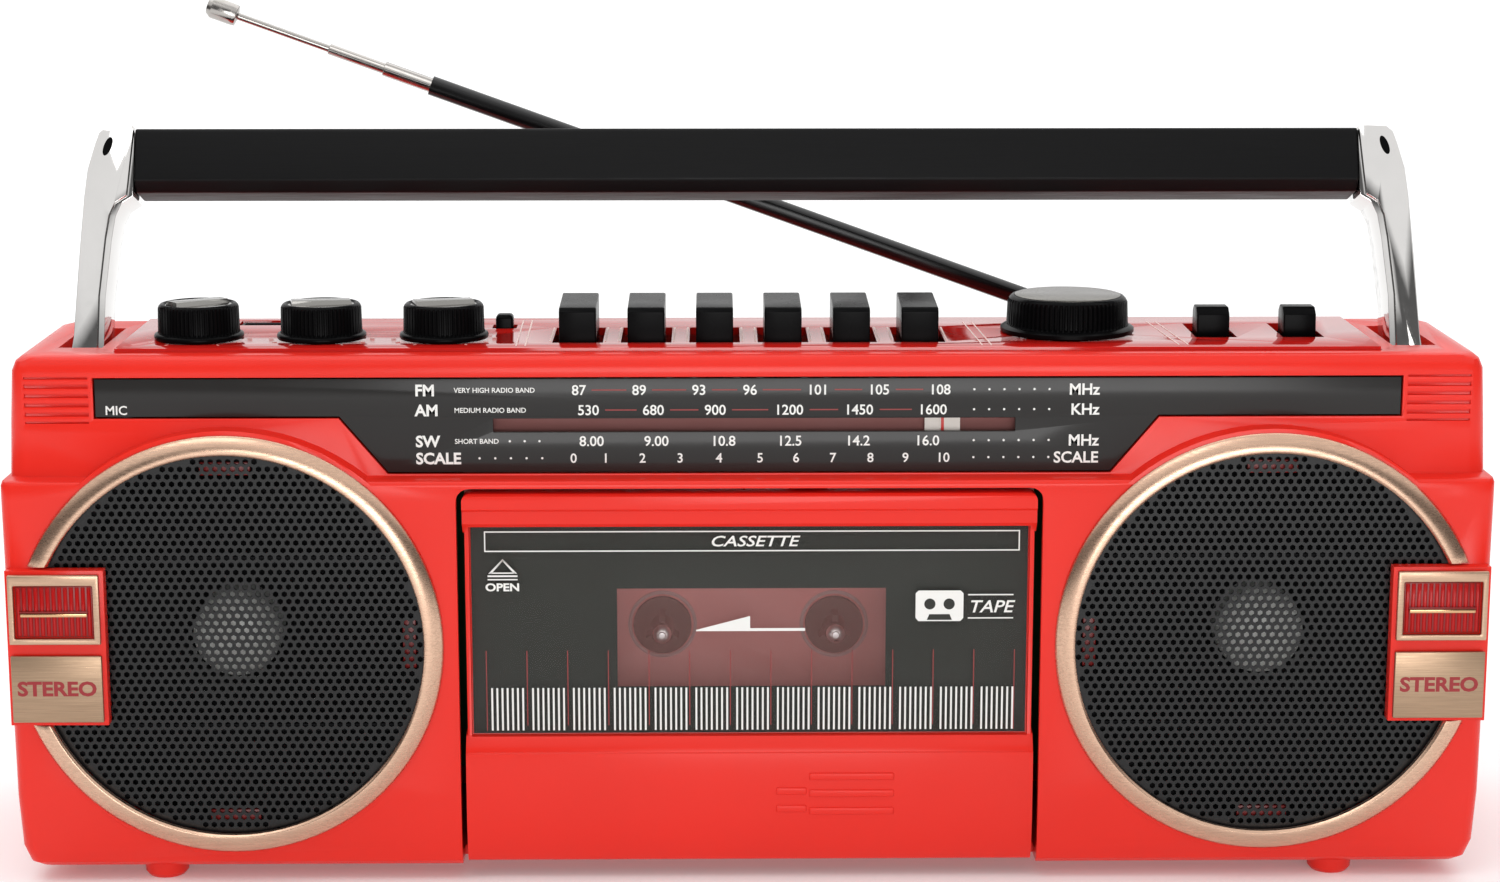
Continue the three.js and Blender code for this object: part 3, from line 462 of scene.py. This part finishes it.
# heights of the rows, and each row's numbers with their places along the dial
ROW = {"fm": 119.64, "am": 114.85, "sw": 107.41, "scale": 103.31}
FM = [("87", -40.2), ("89", -26.0), ("93", -11.9), ("96", 0.1), ("101", 16.1), ("105", 30.5), ("108", 44.9)]
AM = [("530", -38.0), ("680", -22.7), ("900", -8.1), ("1200", 9.3), ("1450", 25.8), ("1600", 43.2)]
SW = [("8.00", -37.3), ("9.00", -22.0), ("10.8", -6.2), ("12.5", 9.5), ("14.2", 25.6), ("16.0", 42.0)]
STEPS = [-41.6, -34.0, -25.3, -16.4, -7.2, 2.5, 11.0, 19.7, 28.6, 36.9, 45.8]
DIGIT_HALF = 0.95  # half the width of a printed digit
LINE_HALF = 0.14  # half the height of the thin red lines between the numbers
dial = Shape()
dial_red = Shape()
for row, marks in (("fm", FM), ("am", AM), ("sw", SW)):
    for words, x in marks:
        write(dial, words, x, ROW[row], 2.35, DIAL_Y)
    if row == "sw":
        continue
    for (this_word, this_x), (next_word, next_x) in zip(marks, marks[1:]):
        begin = this_x + DIGIT_HALF * len(this_word) + 1.1
        end = next_x - DIGIT_HALF * len(next_word) - 1.1
        bar(dial_red, begin, end, ROW[row] - LINE_HALF, ROW[row] + LINE_HALF, DIAL_Y)
for number, x in enumerate(STEPS):
    write(dial, str(number), x, ROW["scale"], 2.2, DIAL_Y)
for words, row in (("FM", "fm"), ("AM", "am"), ("SW", "sw"), ("SCALE", "scale")):
    write(dial, words, -78.8, ROW[row], 2.6, DIAL_Y, "LEFT", bold=0.03)
SMALL_WORDS = (("VERY HIGH RADIO BAND", "fm"), ("MEDIUM RADIO BAND", "am"), ("SHORT BAND", "sw"))
for words, row in SMALL_WORDS:
    write(dial, words, -69.6, ROW[row], 1.15, DIAL_Y, "LEFT", bold=0.01)
for words, row in (("MHz", "fm"), ("KHz", "am"), ("MHz", "sw"), ("SCALE", "scale")):
    write(dial, words, 82.6, ROW[row], 2.6, DIAL_Y, "RIGHT", bold=0.02)
write(dial, "MIC", -149.0, 115.0, 2.1, DIAL_Y)
for row in ROW:
    dots(dial, [53.0 + 3.55 * i for i in range(6)], ROW[row], DIAL_Y)
dots(dial, [-56.6, -53.1, -49.6], ROW["sw"], DIAL_Y)
dots(dial, [-63.8 + 3.7 * i for i in range(5)], ROW["scale"], DIAL_Y)
dial.piece("dial_print", "cabinet", "ink")
dial_red.piece("dial_print_red", "cabinet", "ink_red")

# ---- Lines on the deck ------------------------------------------------------------------
KEYS = ("key_record", "key_play", "key_rewind", "key_fast_forward", "key_stop", "key_pause")
KEY_HALF = 4.45  # half the width of a key
SMALL_KNOB_X = (-132.5, -103.0, -73.5)
SMALL_KNOB_Y = -16.5
deck_top = cad("top_deck")[5]
deck = Shape()


def deck_line(x0, y0, x1, y1, width=0.35):
    """A flat line on the deck from x0, y0 to x1, y1."""
    dx, dy = x1 - x0, y1 - y0
    reach = math.hypot(dx, dy)
    nx, ny = -dy / reach * width / 2, dx / reach * width / 2
    corners = [(x0 + nx, y0 + ny), (x0 - nx, y0 - ny), (x1 - nx, y1 - ny), (x1 + nx, y1 + ny)]
    lower, upper = [[(x, y, z) for x, y in corners] for z in (deck_top, deck_top + INK_DEPTH)]
    deck.slab(lower, upper)


# printed slanted pairs that divide the deck, a pale line along each side of every key, and printed ticks
# round the knobs
for x0, y0, x1, y1 in ((-56, 11, -55.4, -29), (53.8, 7, 55.5, -29), (99.7, 7, 102.4, -29)):
    deck_line(x0, y0, x1, y1)
    deck_line(x0 + 2.2, y0, x1 + 2.2, y1)
for key in KEYS:
    key_x = cad(key)[0] + KEY_HALF
    for x in (key_x - 6.6, key_x + 6.6):
        deck_line(x, -1, x, -22.5, 0.45)
for knob_x in SMALL_KNOB_X:
    for tick in range(11):
        angle = math.radians(-60 + tick * 30)
        c, d = math.cos(angle), math.sin(angle)
        deck_line(
            knob_x + 11.6 * c, SMALL_KNOB_Y + 11.6 * d, knob_x + 12.7 * c, SMALL_KNOB_Y + 12.7 * d, 0.3,
        )
deck.piece("deck_print", "cabinet", "ink_deck")

# ---- Knobs, keys and levers -------------------------------------------------------------
FLANGE_LOW = 128.95  # just clear of the deck
STEPS_PER_RIB = 6


def ribbed(ribs, depth, low, high):
    """Radius rule that cuts grip ribs between two heights."""
    def rule(r, h, angle):
        if low <= h <= high:
            wave = math.cos(angle * ribs)
            return r - depth * (0.5 + 0.5 * max(-1.0, min(1.0, -2.2 * wave)))
        return r
    return rule


def small_knob(node, body, angle):
    """A ribbed knob with a plated top and a raised bar, turned by an angle in degrees."""
    x = middle(node)[0]
    y, z0 = cad(node)[2] + 10.7, cad(node)[4]
    ribs = 56
    knob = Shape()
    profile = [
        (0, z0), (3, z0), (3, FLANGE_LOW), (10.5, FLANGE_LOW), (10.7, 129.3), (10.7, 129.9),
        (10.5, 130.2), (9.9, 130.4), (9.75, 130.9), (9.65, 136.4), (9.4, 137.0), (9.0, 137.4),
        (8.5, 137.5), (8.2, 137.3), (8.0, 137.0), (0, 137.0),
    ]
    knob.lathe(profile, (x, y), "z", ribs * STEPS_PER_RIB, ribbed(ribs, 0.4, 130.8, 136.5))
    knob.piece(node + "_ribbed", body, "black_gloss", sharp=40, replaces=(node,))
    top = Shape()
    top.lathe([(0, 136.9), (8.05, 136.9), (8.05, 137.05), (7.9, 137.15), (0, 137.15)], (x, y), "z", 96)
    start = len(top.verts)
    foot = [(-2.8, -7.3, 137.1), (2.8, -7.3, 137.1), (2.4, 7.3, 137.1), (-2.4, 7.3, 137.1)]
    crest = [(-2.2, -7.0, 138.3), (2.2, -7.0, 138.3), (1.8, 7.0, 138.1), (-1.8, 7.0, 138.1)]
    top.slab([(x + a, y + b, z) for a, b, z in foot], [(x + a, y + b, z) for a, b, z in crest])
    top.turn(angle, (x, y), start)
    top.piece(node + "_top", body, "black_top", bevel=0.12, segments=2)


def turned_metal(name, x, y, z):
    """Dark metal with fine rings about a point, as a lathe leaves them."""
    made = Look(name, srgb(136, 132, 124), 0.24, 0.9)
    offset = made.node("ShaderNodeMapping", Vector=made.where, Location=[-x * MM, -y * MM, -z * MM])
    distance = made.node("ShaderNodeVectorMath", Vector=offset.outputs[0])
    distance.operation = "LENGTH"
    rings = made.tree.nodes.new("ShaderNodeTexNoise")
    rings.noise_dimensions = "1D"
    made.tree.links.new(distance.outputs["Value"], rings.inputs["W"])
    rings.inputs["Scale"].default_value = 5.0 / MM
    made.relief(rings.outputs["Fac"], 0.03, 0.8)
    made.tint(rings.outputs["Fac"], srgb(72, 70, 66))
    return made


small_knob("volume_knob", "volume", -52)
small_knob("bass_knob", "bass", -78)
small_knob("treble_knob", "treble", -72)

x, y, _ = middle("tuning_knob")
z0 = cad("tuning_knob")[4]
TUNING_RIBS = 72
tuning = Shape()
tuning.lathe(
    [
        (0, z0), (3.6, z0), (3.6, FLANGE_LOW), (15.9, FLANGE_LOW), (16.25, 129.3), (16.25, 130.1),
        (15.7, 130.5), (15.0, 130.8), (14.8, 131.2), (14.6, 136.4), (14.2, 137.2), (13.6, 137.8),
        (13.1, 137.9), (12.9, 137.7), (0, 137.7),
    ],
    (x, y), "z", TUNING_RIBS * STEPS_PER_RIB, ribbed(TUNING_RIBS, 0.6, 131.0, 136.5),
)
tuning.piece(
    "tuning_knob_ribbed", "tuning", "black_gloss", sharp=40, replaces=("tuning_knob",),
)
cap = Shape()
disc = [(0, 137.75), (12.9, 137.75), (12.9, 138.0), (12.6, 138.15), (1.5, 138.2), (0, 138.2)]
cap.lathe(disc, (x, y), "z", 96)
L["turned_top"] = turned_metal("turned_top", x, y, 138)
cap.piece("tuning_knob_top", "tuning", "turned_top")

for node in KEYS:
    dress(node, "black_gloss", 0.45, 3)
for node in ("band_lever", "function_lever"):
    dress(node, "black_gloss", 0.35, 3)
dress("power_button", "black_gloss", 0.9, 3)

# ---- Speakers ---------------------------------------------------------------------------
HEX_PITCH = 2.05
HOLE = 0.74  # radius of a hole's corners
RIM_BAND = 1.3  # no holes this near the edge of the sheet
ROW_RISE = 0.8660254  # height of one row of holes, in pitches


def perforated(node, body):
    """A sheet with hexagonal rows of holes, round at its rim."""
    x0, x1, y0, _, z0, z1 = cad(node)
    cx, cz, rim = (x0 + x1) / 2, (z0 + z1) / 2, (x1 - x0) / 2
    verts, index, faces = [], {}, []

    def corner(x, z):
        """Number of the vertex there, made once and kept inside the rim."""
        reach = math.hypot(x, z)
        if reach > rim - 0.05:
            x, z = x * (rim - 0.05) / reach, z * (rim - 0.05) / reach
        key = (round(x * 1000), round(z * 1000))
        if key not in index:
            index[key] = len(verts)
            verts.append((cx + x, 0, cz + z))
        return index[key]

    rows = int(rim / (HEX_PITCH * ROW_RISE)) + 2
    outer = HEX_PITCH / math.sqrt(3)
    for row in range(-rows, rows + 1):
        for column in range(-rows - 2, rows + 3):
            px = (column + 0.5 * (row % 2)) * HEX_PITCH
            pz = row * HEX_PITCH * ROW_RISE
            if math.hypot(px, pz) > rim + 0.5:
                continue
            angles = [math.radians(60 * k + 30) for k in range(6)]
            cell = [corner(px + outer * math.cos(a), pz + outer * math.sin(a)) for a in angles]
            if len(set(cell)) < 6:
                continue
            if math.hypot(px, pz) > rim - RIM_BAND:
                faces.append(cell)
                continue
            hole = [corner(px + HOLE * math.cos(a), pz + HOLE * math.sin(a)) for a in angles]
            for k in range(6):
                m = (k + 1) % 6
                faces.append((cell[k], cell[m], hole[m], hole[k]))
    mesh = bpy.data.meshes.new(node + "_holes")
    mesh.from_pydata([(x * MM, (y0 + 0.1) * MM, z * MM) for x, _, z in verts], [], faces)
    bm = bmesh.new()
    bm.from_mesh(mesh)
    bmesh.ops.recalc_face_normals(bm, faces=bm.faces)
    if sum(face.normal.y for face in bm.faces) > 0:
        bmesh.ops.reverse_faces(bm, faces=bm.faces)
    bm.to_mesh(mesh)
    bm.free()
    mesh.materials.append(L["grille"].mat)
    obj = bpy.data.objects.new(node + "_holes", mesh)
    bpy.context.scene.collection.objects.link(obj)
    thick = obj.modifiers.new("sheet", "SOLIDIFY")
    thick.thickness = 0.7 * MM
    thick.offset = -1
    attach(obj, body)
    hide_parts(node)


SIDES = ("left", "right")
for word in SIDES:
    cx, _, cz = middle("speaker_grille_" + word)
    dress("speaker_ring_" + word, "ring", 0.15, 2, 40)
    perforated("speaker_grille_" + word, "cabinet")
    driver = "speaker_driver_" + word
    d = cad(driver)[2]
    cone = Shape()
    # the rubber surround's half roll, and the paper's slope with its fine ripples
    rolls = [(35.0 + 6.0 * k / 12, d + 3.4 - 2.6 * math.sin(math.pi * k / 12)) for k in range(13)]
    slope = [
        (11.0 + 24.0 * k / 36, d + 17.0 - 13.6 * (k / 36) ** 0.92 + 0.18 * math.cos(k * math.pi / 3))
        for k in range(36)
    ]
    profile = [(0, d + 17.2), (10.6, d + 17.2)] + slope + rolls + [
        (43, d + 3.4), (43.2, d + 0.2), (49.4, d + 0.2), (49.4, d + 2), (44, d + 3.6),
        (28, d + 20), (27, d + 21), (27, d + 24), (22, d + 24.5), (22, d + 36), (0, d + 36),
    ]
    cone.lathe(profile, (cx, cz), "y", 96)
    cone.piece(driver + "_cone", "cabinet", "cone", sharp=50, replaces=(driver,))
    dome = Shape()
    arc = [t * math.pi / 24 for t in range(1, 13)]
    crown = [(10.6 * math.sin(t), d + 10.2 - 5.2 * math.cos(t)) for t in arc]
    dome.lathe([(0, d + 5.0)] + crown + [(10.6, d + 17.4), (0, d + 17.4)], (cx, cz), "y", 48)
    dome.piece("dust_cap_" + word, "cabinet", "dome", sharp=60)
    # two struts behind the sheet
    bars = Shape()
    g = cad("speaker_grille_" + word)[3]
    for z in (-20.5, 20.5):
        half = math.sqrt(46.5 ** 2 - z * z)
        bars.box(cx - half, cx + half, g + 0.1, g + 1.1, cz + z - 0.9, cz + z + 0.9)
    bars.piece("grille_bars_" + word, "cabinet", "cone", bevel=0.15)
    # the four lugs that hold the sheet, dark through its holes
    lugs = Shape()
    for angle in (0, 90, 180, 270):
        a = math.radians(angle)
        lx, lz = cx + 42.5 * math.cos(a), cz + 42.5 * math.sin(a)
        w, h = (1.6, 6.0) if angle in (0, 180) else (6.0, 1.6)
        lugs.box(lx - w, lx + w, g + 0.1, g + 1.6, lz - h, lz + h)
    lugs.piece("grille_lugs_" + word, "cabinet", "dark_red", bevel=0.3)

# ---- Badges -----------------------------------------------------------------------------
for word in SIDES:
    dress("badge_frame_" + word, "bronze", 0.3, 3)
    dress("badge_plate_" + word, "plate", 0.25, 3)
    lens_node = "badge_lens_" + word
    x0, x1, y0, y1, z0, z1 = cad(lens_node)
    # a dark red sheet behind the ridges: painted shade in the gaps between them
    base = Shape()
    base.box(x0, x1, y1 - 0.2, y1, z0, z1)
    base.piece("badge_gap_painted_shade_" + word, "cabinet", "dark_red", bevel=0.05, replaces=(lens_node,))
    # a row of upright ridges, and a gold bar across them with a dark red strip along its top: painted shadow
    lens = Shape()
    rib_count = 13
    pitch = (x1 - x0) / rib_count
    foot_y = y1 - 0.15
    for k in range(rib_count):
        a, b = x0 + k * pitch + 0.16, x0 + (k + 1) * pitch - 0.16
        c, d = (a + b) / 2 - 0.2, (a + b) / 2 + 0.2
        low, high = z0 + 0.6, z1 - 0.6
        lens.slab(
            [(a, foot_y, z0 + 0.1), (b, foot_y, z0 + 0.1), (b, foot_y, z1 - 0.1), (a, foot_y, z1 - 0.1)],
            [(c, y0, low), (d, y0, low), (d, y0, high), (c, y0, high)],
        )
    lens.piece("badge_ribs_" + word, "cabinet", "badge")
    gold = Shape()
    mid = (z0 + z1) / 2 - 0.6
    gold.box(x0 + 1.2, x1 - 1.2, y0 - 0.55, y0 + 0.2, mid - 0.5, mid + 0.35)
    gold.piece("badge_bar_" + word, "cabinet", "gold", bevel=0.15)
    # dark red strip just above the gold bar: painted shadow
    shadow = Shape()
    shadow.box(x0 + 1.0, x1 - 1.0, y0 - 0.3, y0 + 0.1, mid + 0.4, mid + 0.85)
    shadow.piece("badge_bar_painted_shadow_" + word, "cabinet", "dark_red", bevel=0.1)
    plate_x, _, plate_z = middle("badge_plate_" + word)
    mark = Shape()
    write(mark, "STEREO", plate_x, plate_z + 0.2, 3.3, cad("badge_plate_" + word)[2], bold=0.035, wide=1.12)
    mark.piece("badge_mark_" + word, "cabinet", "ink_bass")

# ---- Cassette door ----------------------------------------------------------------------
dress("door_frame", "red", 0.3, 2)
dress("door_window", "window_clear", 0.2)
dress("cassette_holder", "black_matt", 0.2)
wx0, wx1, wy0, wy1, wz0, wz1 = cad("door_window")
ix0, ix1, iz0, iz1 = -31.6, 32.5, 47.7, 71.8  # the clear part, through which the reels show
paint = Shape()
PAINTED = (
    (wx0, ix0, wz0, wz1), (ix1, wx1, wz0, wz1), (ix0, ix1, wz0, iz0), (ix0, ix1, iz1, wz1),
)
for x0, x1, z0, z1 in PAINTED:
    paint.box(x0, x1, wy1 + 0.02, wy1 + 0.12, z0, z1)
paint.piece("window_paint", "cassette_door", "window_paint")
tint = Shape()
tint.box(ix0, ix1, wy1 + 0.14, wy1 + 0.3, iz0, iz1)
tint.piece("window_tint", "cassette_door", "window_tint")

white = Shape()
outline_box(white, -62.9, 64.1, 81.2, 86.2, wy0)
write(white, "CASSETTE", 0.9, 83.7, 2.5, wy0, slant=0.25, wide=1.28)
# opening sign: an outlined triangle over two lines, and a word below
for left, right in ((-62.0, -61.3), (-55.2, -55.9)):
    leg = [(left, 75.9), (right, 75.9), (-58.6, 78.9), (-58.6, 79.5)]
    white.prism(leg if left < right else leg[::-1], wy0 - INK_DEPTH, wy0)
bar(white, -61.5, -55.7, 75.9, 76.2, wy0)
bar(white, -62.2, -55.1, 75.1, 75.5, wy0)
bar(white, -62.2, -55.1, 74.3, 74.6, wy0)
write(white, "OPEN", -58.7, 72.6, 1.8, wy0, bold=0.03, wide=1.2)
# tape direction arrow
arrow = [(-12.8, 62.0), (0.1, 65.4), (0.1, 62.4), (13.2, 62.4), (13.2, 61.7), (-12.8, 61.7)]
white.prism(arrow, wy0 - INK_DEPTH, wy0)
# a plain cassette sign: a pale body, with reels and tape opening printed over it
cassette = [
    (40.2, 64.0), (50.2, 64.0), (50.9, 64.8), (50.9, 70.8),
    (50.2, 71.5), (40.2, 71.5), (39.5, 70.8), (39.5, 64.8),
]
white.prism(cassette, wy0 - INK_DEPTH, wy0)
icon = Shape()
over_front, over_back = wy0 - INK_DEPTH * 1.6, wy0 - INK_DEPTH * 1.05
for x in (42.9, 47.5):
    icon.prism(circle(x, 68.2, 1.35, 16), over_front, over_back)
icon.prism([(42.2, 64.3), (48.2, 64.3), (47.6, 65.7), (42.8, 65.7)], over_front, over_back)
icon.piece("window_icon_holes", "cassette_door", "window_paint")
bar(white, 52.0, 62.8, 70.3, 70.6, wy0)
bar(white, 52.0, 62.8, 64.6, 64.9, wy0)
write(white, "TAPE", 57.3, 67.6, 2.9, wy0, slant=0.25, wide=1.1)
# the striped band, with thin red lines between its groups
for group in range(13):
    for k in range(7):
        x = -61.8 + group * 9.76 + k * 1.23
        bar(white, x, x + 0.45, 37.3, 47.8, wy0)
white.piece("window_print", "cassette_door", "ink")
stripes = Shape()
for group in range(14):
    x = -62.95 + group * 9.7
    bar(stripes, x, x + 0.22, 37.3 if group in (0, 13) else 38.5, 57.0, wy0)
stripes.piece("window_print_red", "cassette_door", "ink_red")

# soft finger ribs low on the door, in two staggered groups
RIB_PLACES = (
    (14.2, 34.6, 26.4), (14.2, 34.6, 22.2), (14.2, 34.6, 17.8), (6.3, 13.6, 22.8), (6.3, 13.6, 18.4),
)
ribs = Shape()
door_y = cad("door_frame")[2]
for left, right, z in RIB_PLACES:
    ribs.box(left, right, door_y - 0.45, door_y + 0.6, z - 0.9, z + 0.9)
ribs.piece("door_finger_ribs", "cassette_door", "red", bevel=0.4, segments=3)

# ---- Tape mechanism ---------------------------------------------------------------------
dress("deck_chassis", "chassis", 0.2)
for word in ("supply", "takeup"):
    spindle = word + "_spindle"
    dress(spindle, "reel", 0.12)
    cx, _, cz = middle(spindle)
    tip = cad(spindle)[2]
    cap = Shape()
    cap.lathe(
        [(0, tip - 0.5), (0.8, tip - 0.4), (1.0, tip - 0.05), (1.3, tip), (1.9, tip + 0.6), (2.3, tip + 1.2),
         (2.3, tip + 1.6), (1.2, tip + 1.7), (0, tip + 1.7)],
        (cx, cz), "y", 32,
    )
    cap.piece(word + "_spindle_tip", word, "silver", sharp=50)
    halo = Shape()
    halo.lathe(
        [(7.7, -11.05), (8.5, -11.05), (8.5, -11.5), (8.1, -11.7), (7.7, -11.5), (7.7, -11.05)],
        (cx, cz), "y", 64,
    )
    halo.piece(word + "_reel_halo", "cabinet", "halo", sharp=50)
dress("head_bridge", "steel", 0.15)
dress("tape_head", "silver", 0.3)
dress("pinch_roller", "rubber", 0.2)
dress("capstan_flywheel", "steel", 0.3)
dress("drive_belt", "rubber", 0.2)
dress("tape_motor", "steel", 0.4)

# ---- Handle -----------------------------------------------------------------------------
dress("handle_grip", "grip", 0.5, 3)
dress("handle_arm_left", "chrome", 0.6, 3)
dress("handle_arm_right", "chrome", 0.6, 3)


HANDLE_LEAN = math.radians(18)
PIN_Y, PIN_Z = -15.6, 114


def leaned(x, u, v):
    """A point of the upright handle, u behind and v above its pins, once it leans back."""
    c, s = math.cos(HANDLE_LEAN), math.sin(HANDLE_LEAN)
    return (x, PIN_Y + u * c + v * s, PIN_Z - u * s + v * c)


for word, side in zip(SIDES, (-1, 1)):
    # a slanted dark oval at the top of each arm: painted shade where the arm has an oval hollow
    oval = [(a + side * (155.2 - 0.3 * b), 60.6 + b) for a, b in ellipse(1.0, 2.3, 20)]
    oval_shade = Shape()
    oval_shade.prism(oval, -7.55, -7.0)
    oval_shade.verts = [leaned(*v) for v in oval_shade.verts]
    oval_shade.piece("handle_oval_painted_shade_" + word, "handle", "black_gloss", sharp=40)

# ---- Antenna ----------------------------------------------------------------------------
dress("antenna_base", "chrome", 0.3)
dress("antenna_tube", "antenna_black", 0.2, sharp=50)
for node in ("antenna_section_a", "antenna_section_b", "antenna_rod"):
    dress(node, "mast", 0.15, sharp=50)

# ---- Inside and back --------------------------------------------------------------------
dress("circuit_board", "board", 0.2)
dress("control_board", "board", 0.2)
dress("tuning_capacitor", "black_matt", 0.4)
dress("transformer", "steel", 0.4)
dress("battery_contact", "steel", 0.15)
dress("ac_inlet", "black", 0.3)
# cross-head screws in the recesses of the back, and the two pins of the mains inlet
screws = Shape()
SCREW_HEAD = [(0, 45.3), (3.2, 45.3), (3.2, 46.2), (2.9, 46.7), (1.8, 47.0), (1.3, 46.9), (0, 46.9)]
for x in (-165, -68, 68, 165):
    for z in (14, 88):
        screws.lathe(SCREW_HEAD, (x, z), "y", 40)
        screws.box(x - 1.6, x + 1.6, 46.9, 47.08, z - 0.3, z + 0.3)
        screws.box(x - 0.3, x + 0.3, 46.9, 47.08, z - 1.6, z + 1.6)
screws.piece("rear_screws", "cabinet", "steel", sharp=40)
inlet_x, _, inlet_z = middle("ac_inlet")
face = cad("ac_inlet")[3]
PIN = [(0, face - 9), (1.1, face - 9), (1.1, face - 1.6), (0.8, face - 1.1), (0, face - 1.0)]
pins = Shape()
for x in (inlet_x - 3.3, inlet_x + 3.3):
    pins.lathe(PIN, (x, inlet_z), "y", 24)
pins.piece("ac_inlet_pins", "cabinet", "steel", sharp=40)
dress("usb_port", "black", 0.2)
dress("microphone", "steel", 0.3)

# ---- Studio -----------------------------------------------------------------------------
floor_mesh = bpy.data.meshes.new("floor")
REACH = 6  # metres from the middle of the floor to its edges
floor_mesh.from_pydata(
    [(-REACH, -REACH, 0), (REACH, -REACH, 0), (REACH, REACH, 0), (-REACH, REACH, 0)], [], [(0, 1, 2, 3)],
)
floor = bpy.data.objects.new("floor", floor_mesh)
bpy.context.scene.collection.objects.link(floor)
L["floor"] = Look("floor_white", (0.86, 0.86, 0.86, 1.0), 0.9, Specular_IOR_Level=0.1)
L["floor"].tint(L["floor"].noise(0.002), (0.88, 0.88, 0.88, 1.0))
L["floor"].set("Emission Color", (1, 1, 1, 1))
L["floor"].set("Emission Strength", 0.12)
floor_mesh.materials.append(L["floor"].mat)

# a dark band low in front and at the sides, light above, and a bright strip low behind
world = bpy.data.worlds.new("studio")
bpy.context.scene.world = world
world.use_nodes = True
sky = world.node_tree
axes = sky.nodes.new("ShaderNodeSeparateXYZ")
sky.links.new(sky.nodes.new("ShaderNodeTexCoord").outputs["Generated"], axes.inputs[0])


def ramp(axis, begin, end, low, high):
    """Goes from low to high as the direction's part along one axis goes from begin to end."""
    made = sky.nodes.new("ShaderNodeMapRange")
    sky.links.new(axes.outputs[axis], made.inputs["Value"])
    for socket, value in (("From Min", begin), ("From Max", end), ("To Min", low), ("To Max", high)):
        made.inputs[socket].default_value = value
    return made.outputs[0]


def combine(operation, a, b):
    """A math node of two outputs."""
    made = sky.nodes.new("ShaderNodeMath")
    made.operation = operation
    sky.links.new(a, made.inputs[0])
    sky.links.new(b, made.inputs[1])
    return made.outputs[0]


behind = ramp("Y", 0.3, 0.8, 0.0, 0.95)
above = ramp("Z", 0.36, 0.46, 0.12, 1.0)
strength = combine("MAXIMUM", above, combine("MULTIPLY", behind, ramp("Z", 0.2, 0.5, 1.0, 0.6)))
sky.links.new(strength, sky.nodes["Background"].inputs["Strength"])
sky.nodes["Background"].inputs["Color"].default_value = (1, 1, 1, 1)


def softbox(name, where, aim, width, height, power):
    """A rectangular light that faces a point; metres and watts."""
    data = bpy.data.lights.new(name, "AREA")
    data.shape = "RECTANGLE"
    data.size, data.size_y = width, height
    data.energy = power
    obj = bpy.data.objects.new(name, data)
    obj.location = where
    obj.rotation_euler = (Vector(aim) - Vector(where)).to_track_quat("-Z", "Y").to_euler()
    bpy.context.scene.collection.objects.link(obj)


softbox("key", (-0.45, -0.75, 1.5), (0, 0, 0.08), 0.9, 0.6, 3)
softbox("fill", (0.1, -1.35, 0.22), (0, 0, 0.08), 0.8, 0.4, 5)
softbox("backdrop", (0.0, 2.8, 2.6), (0.0, 2.6, 0.0), 5.0, 5.0, 60)

scene = bpy.context.scene
scene.view_settings.view_transform = "Standard"
scene.view_settings.look = "None"
camera = bpy.data.cameras.new("camera")
camera.lens = 72
camera.sensor_width = 36
camera_object = bpy.data.objects.new("camera", camera)
camera_object.location = (-0.00852, -0.73337, 0.24296)
CAMERA_DOWN, CAMERA_RIGHT = 11.03, 0.71  # degrees that it looks down and to the right
camera_object.rotation_euler = (math.radians(90 - CAMERA_DOWN), 0, math.radians(-CAMERA_RIGHT))
scene.collection.objects.link(camera_object)
scene.camera = camera_object
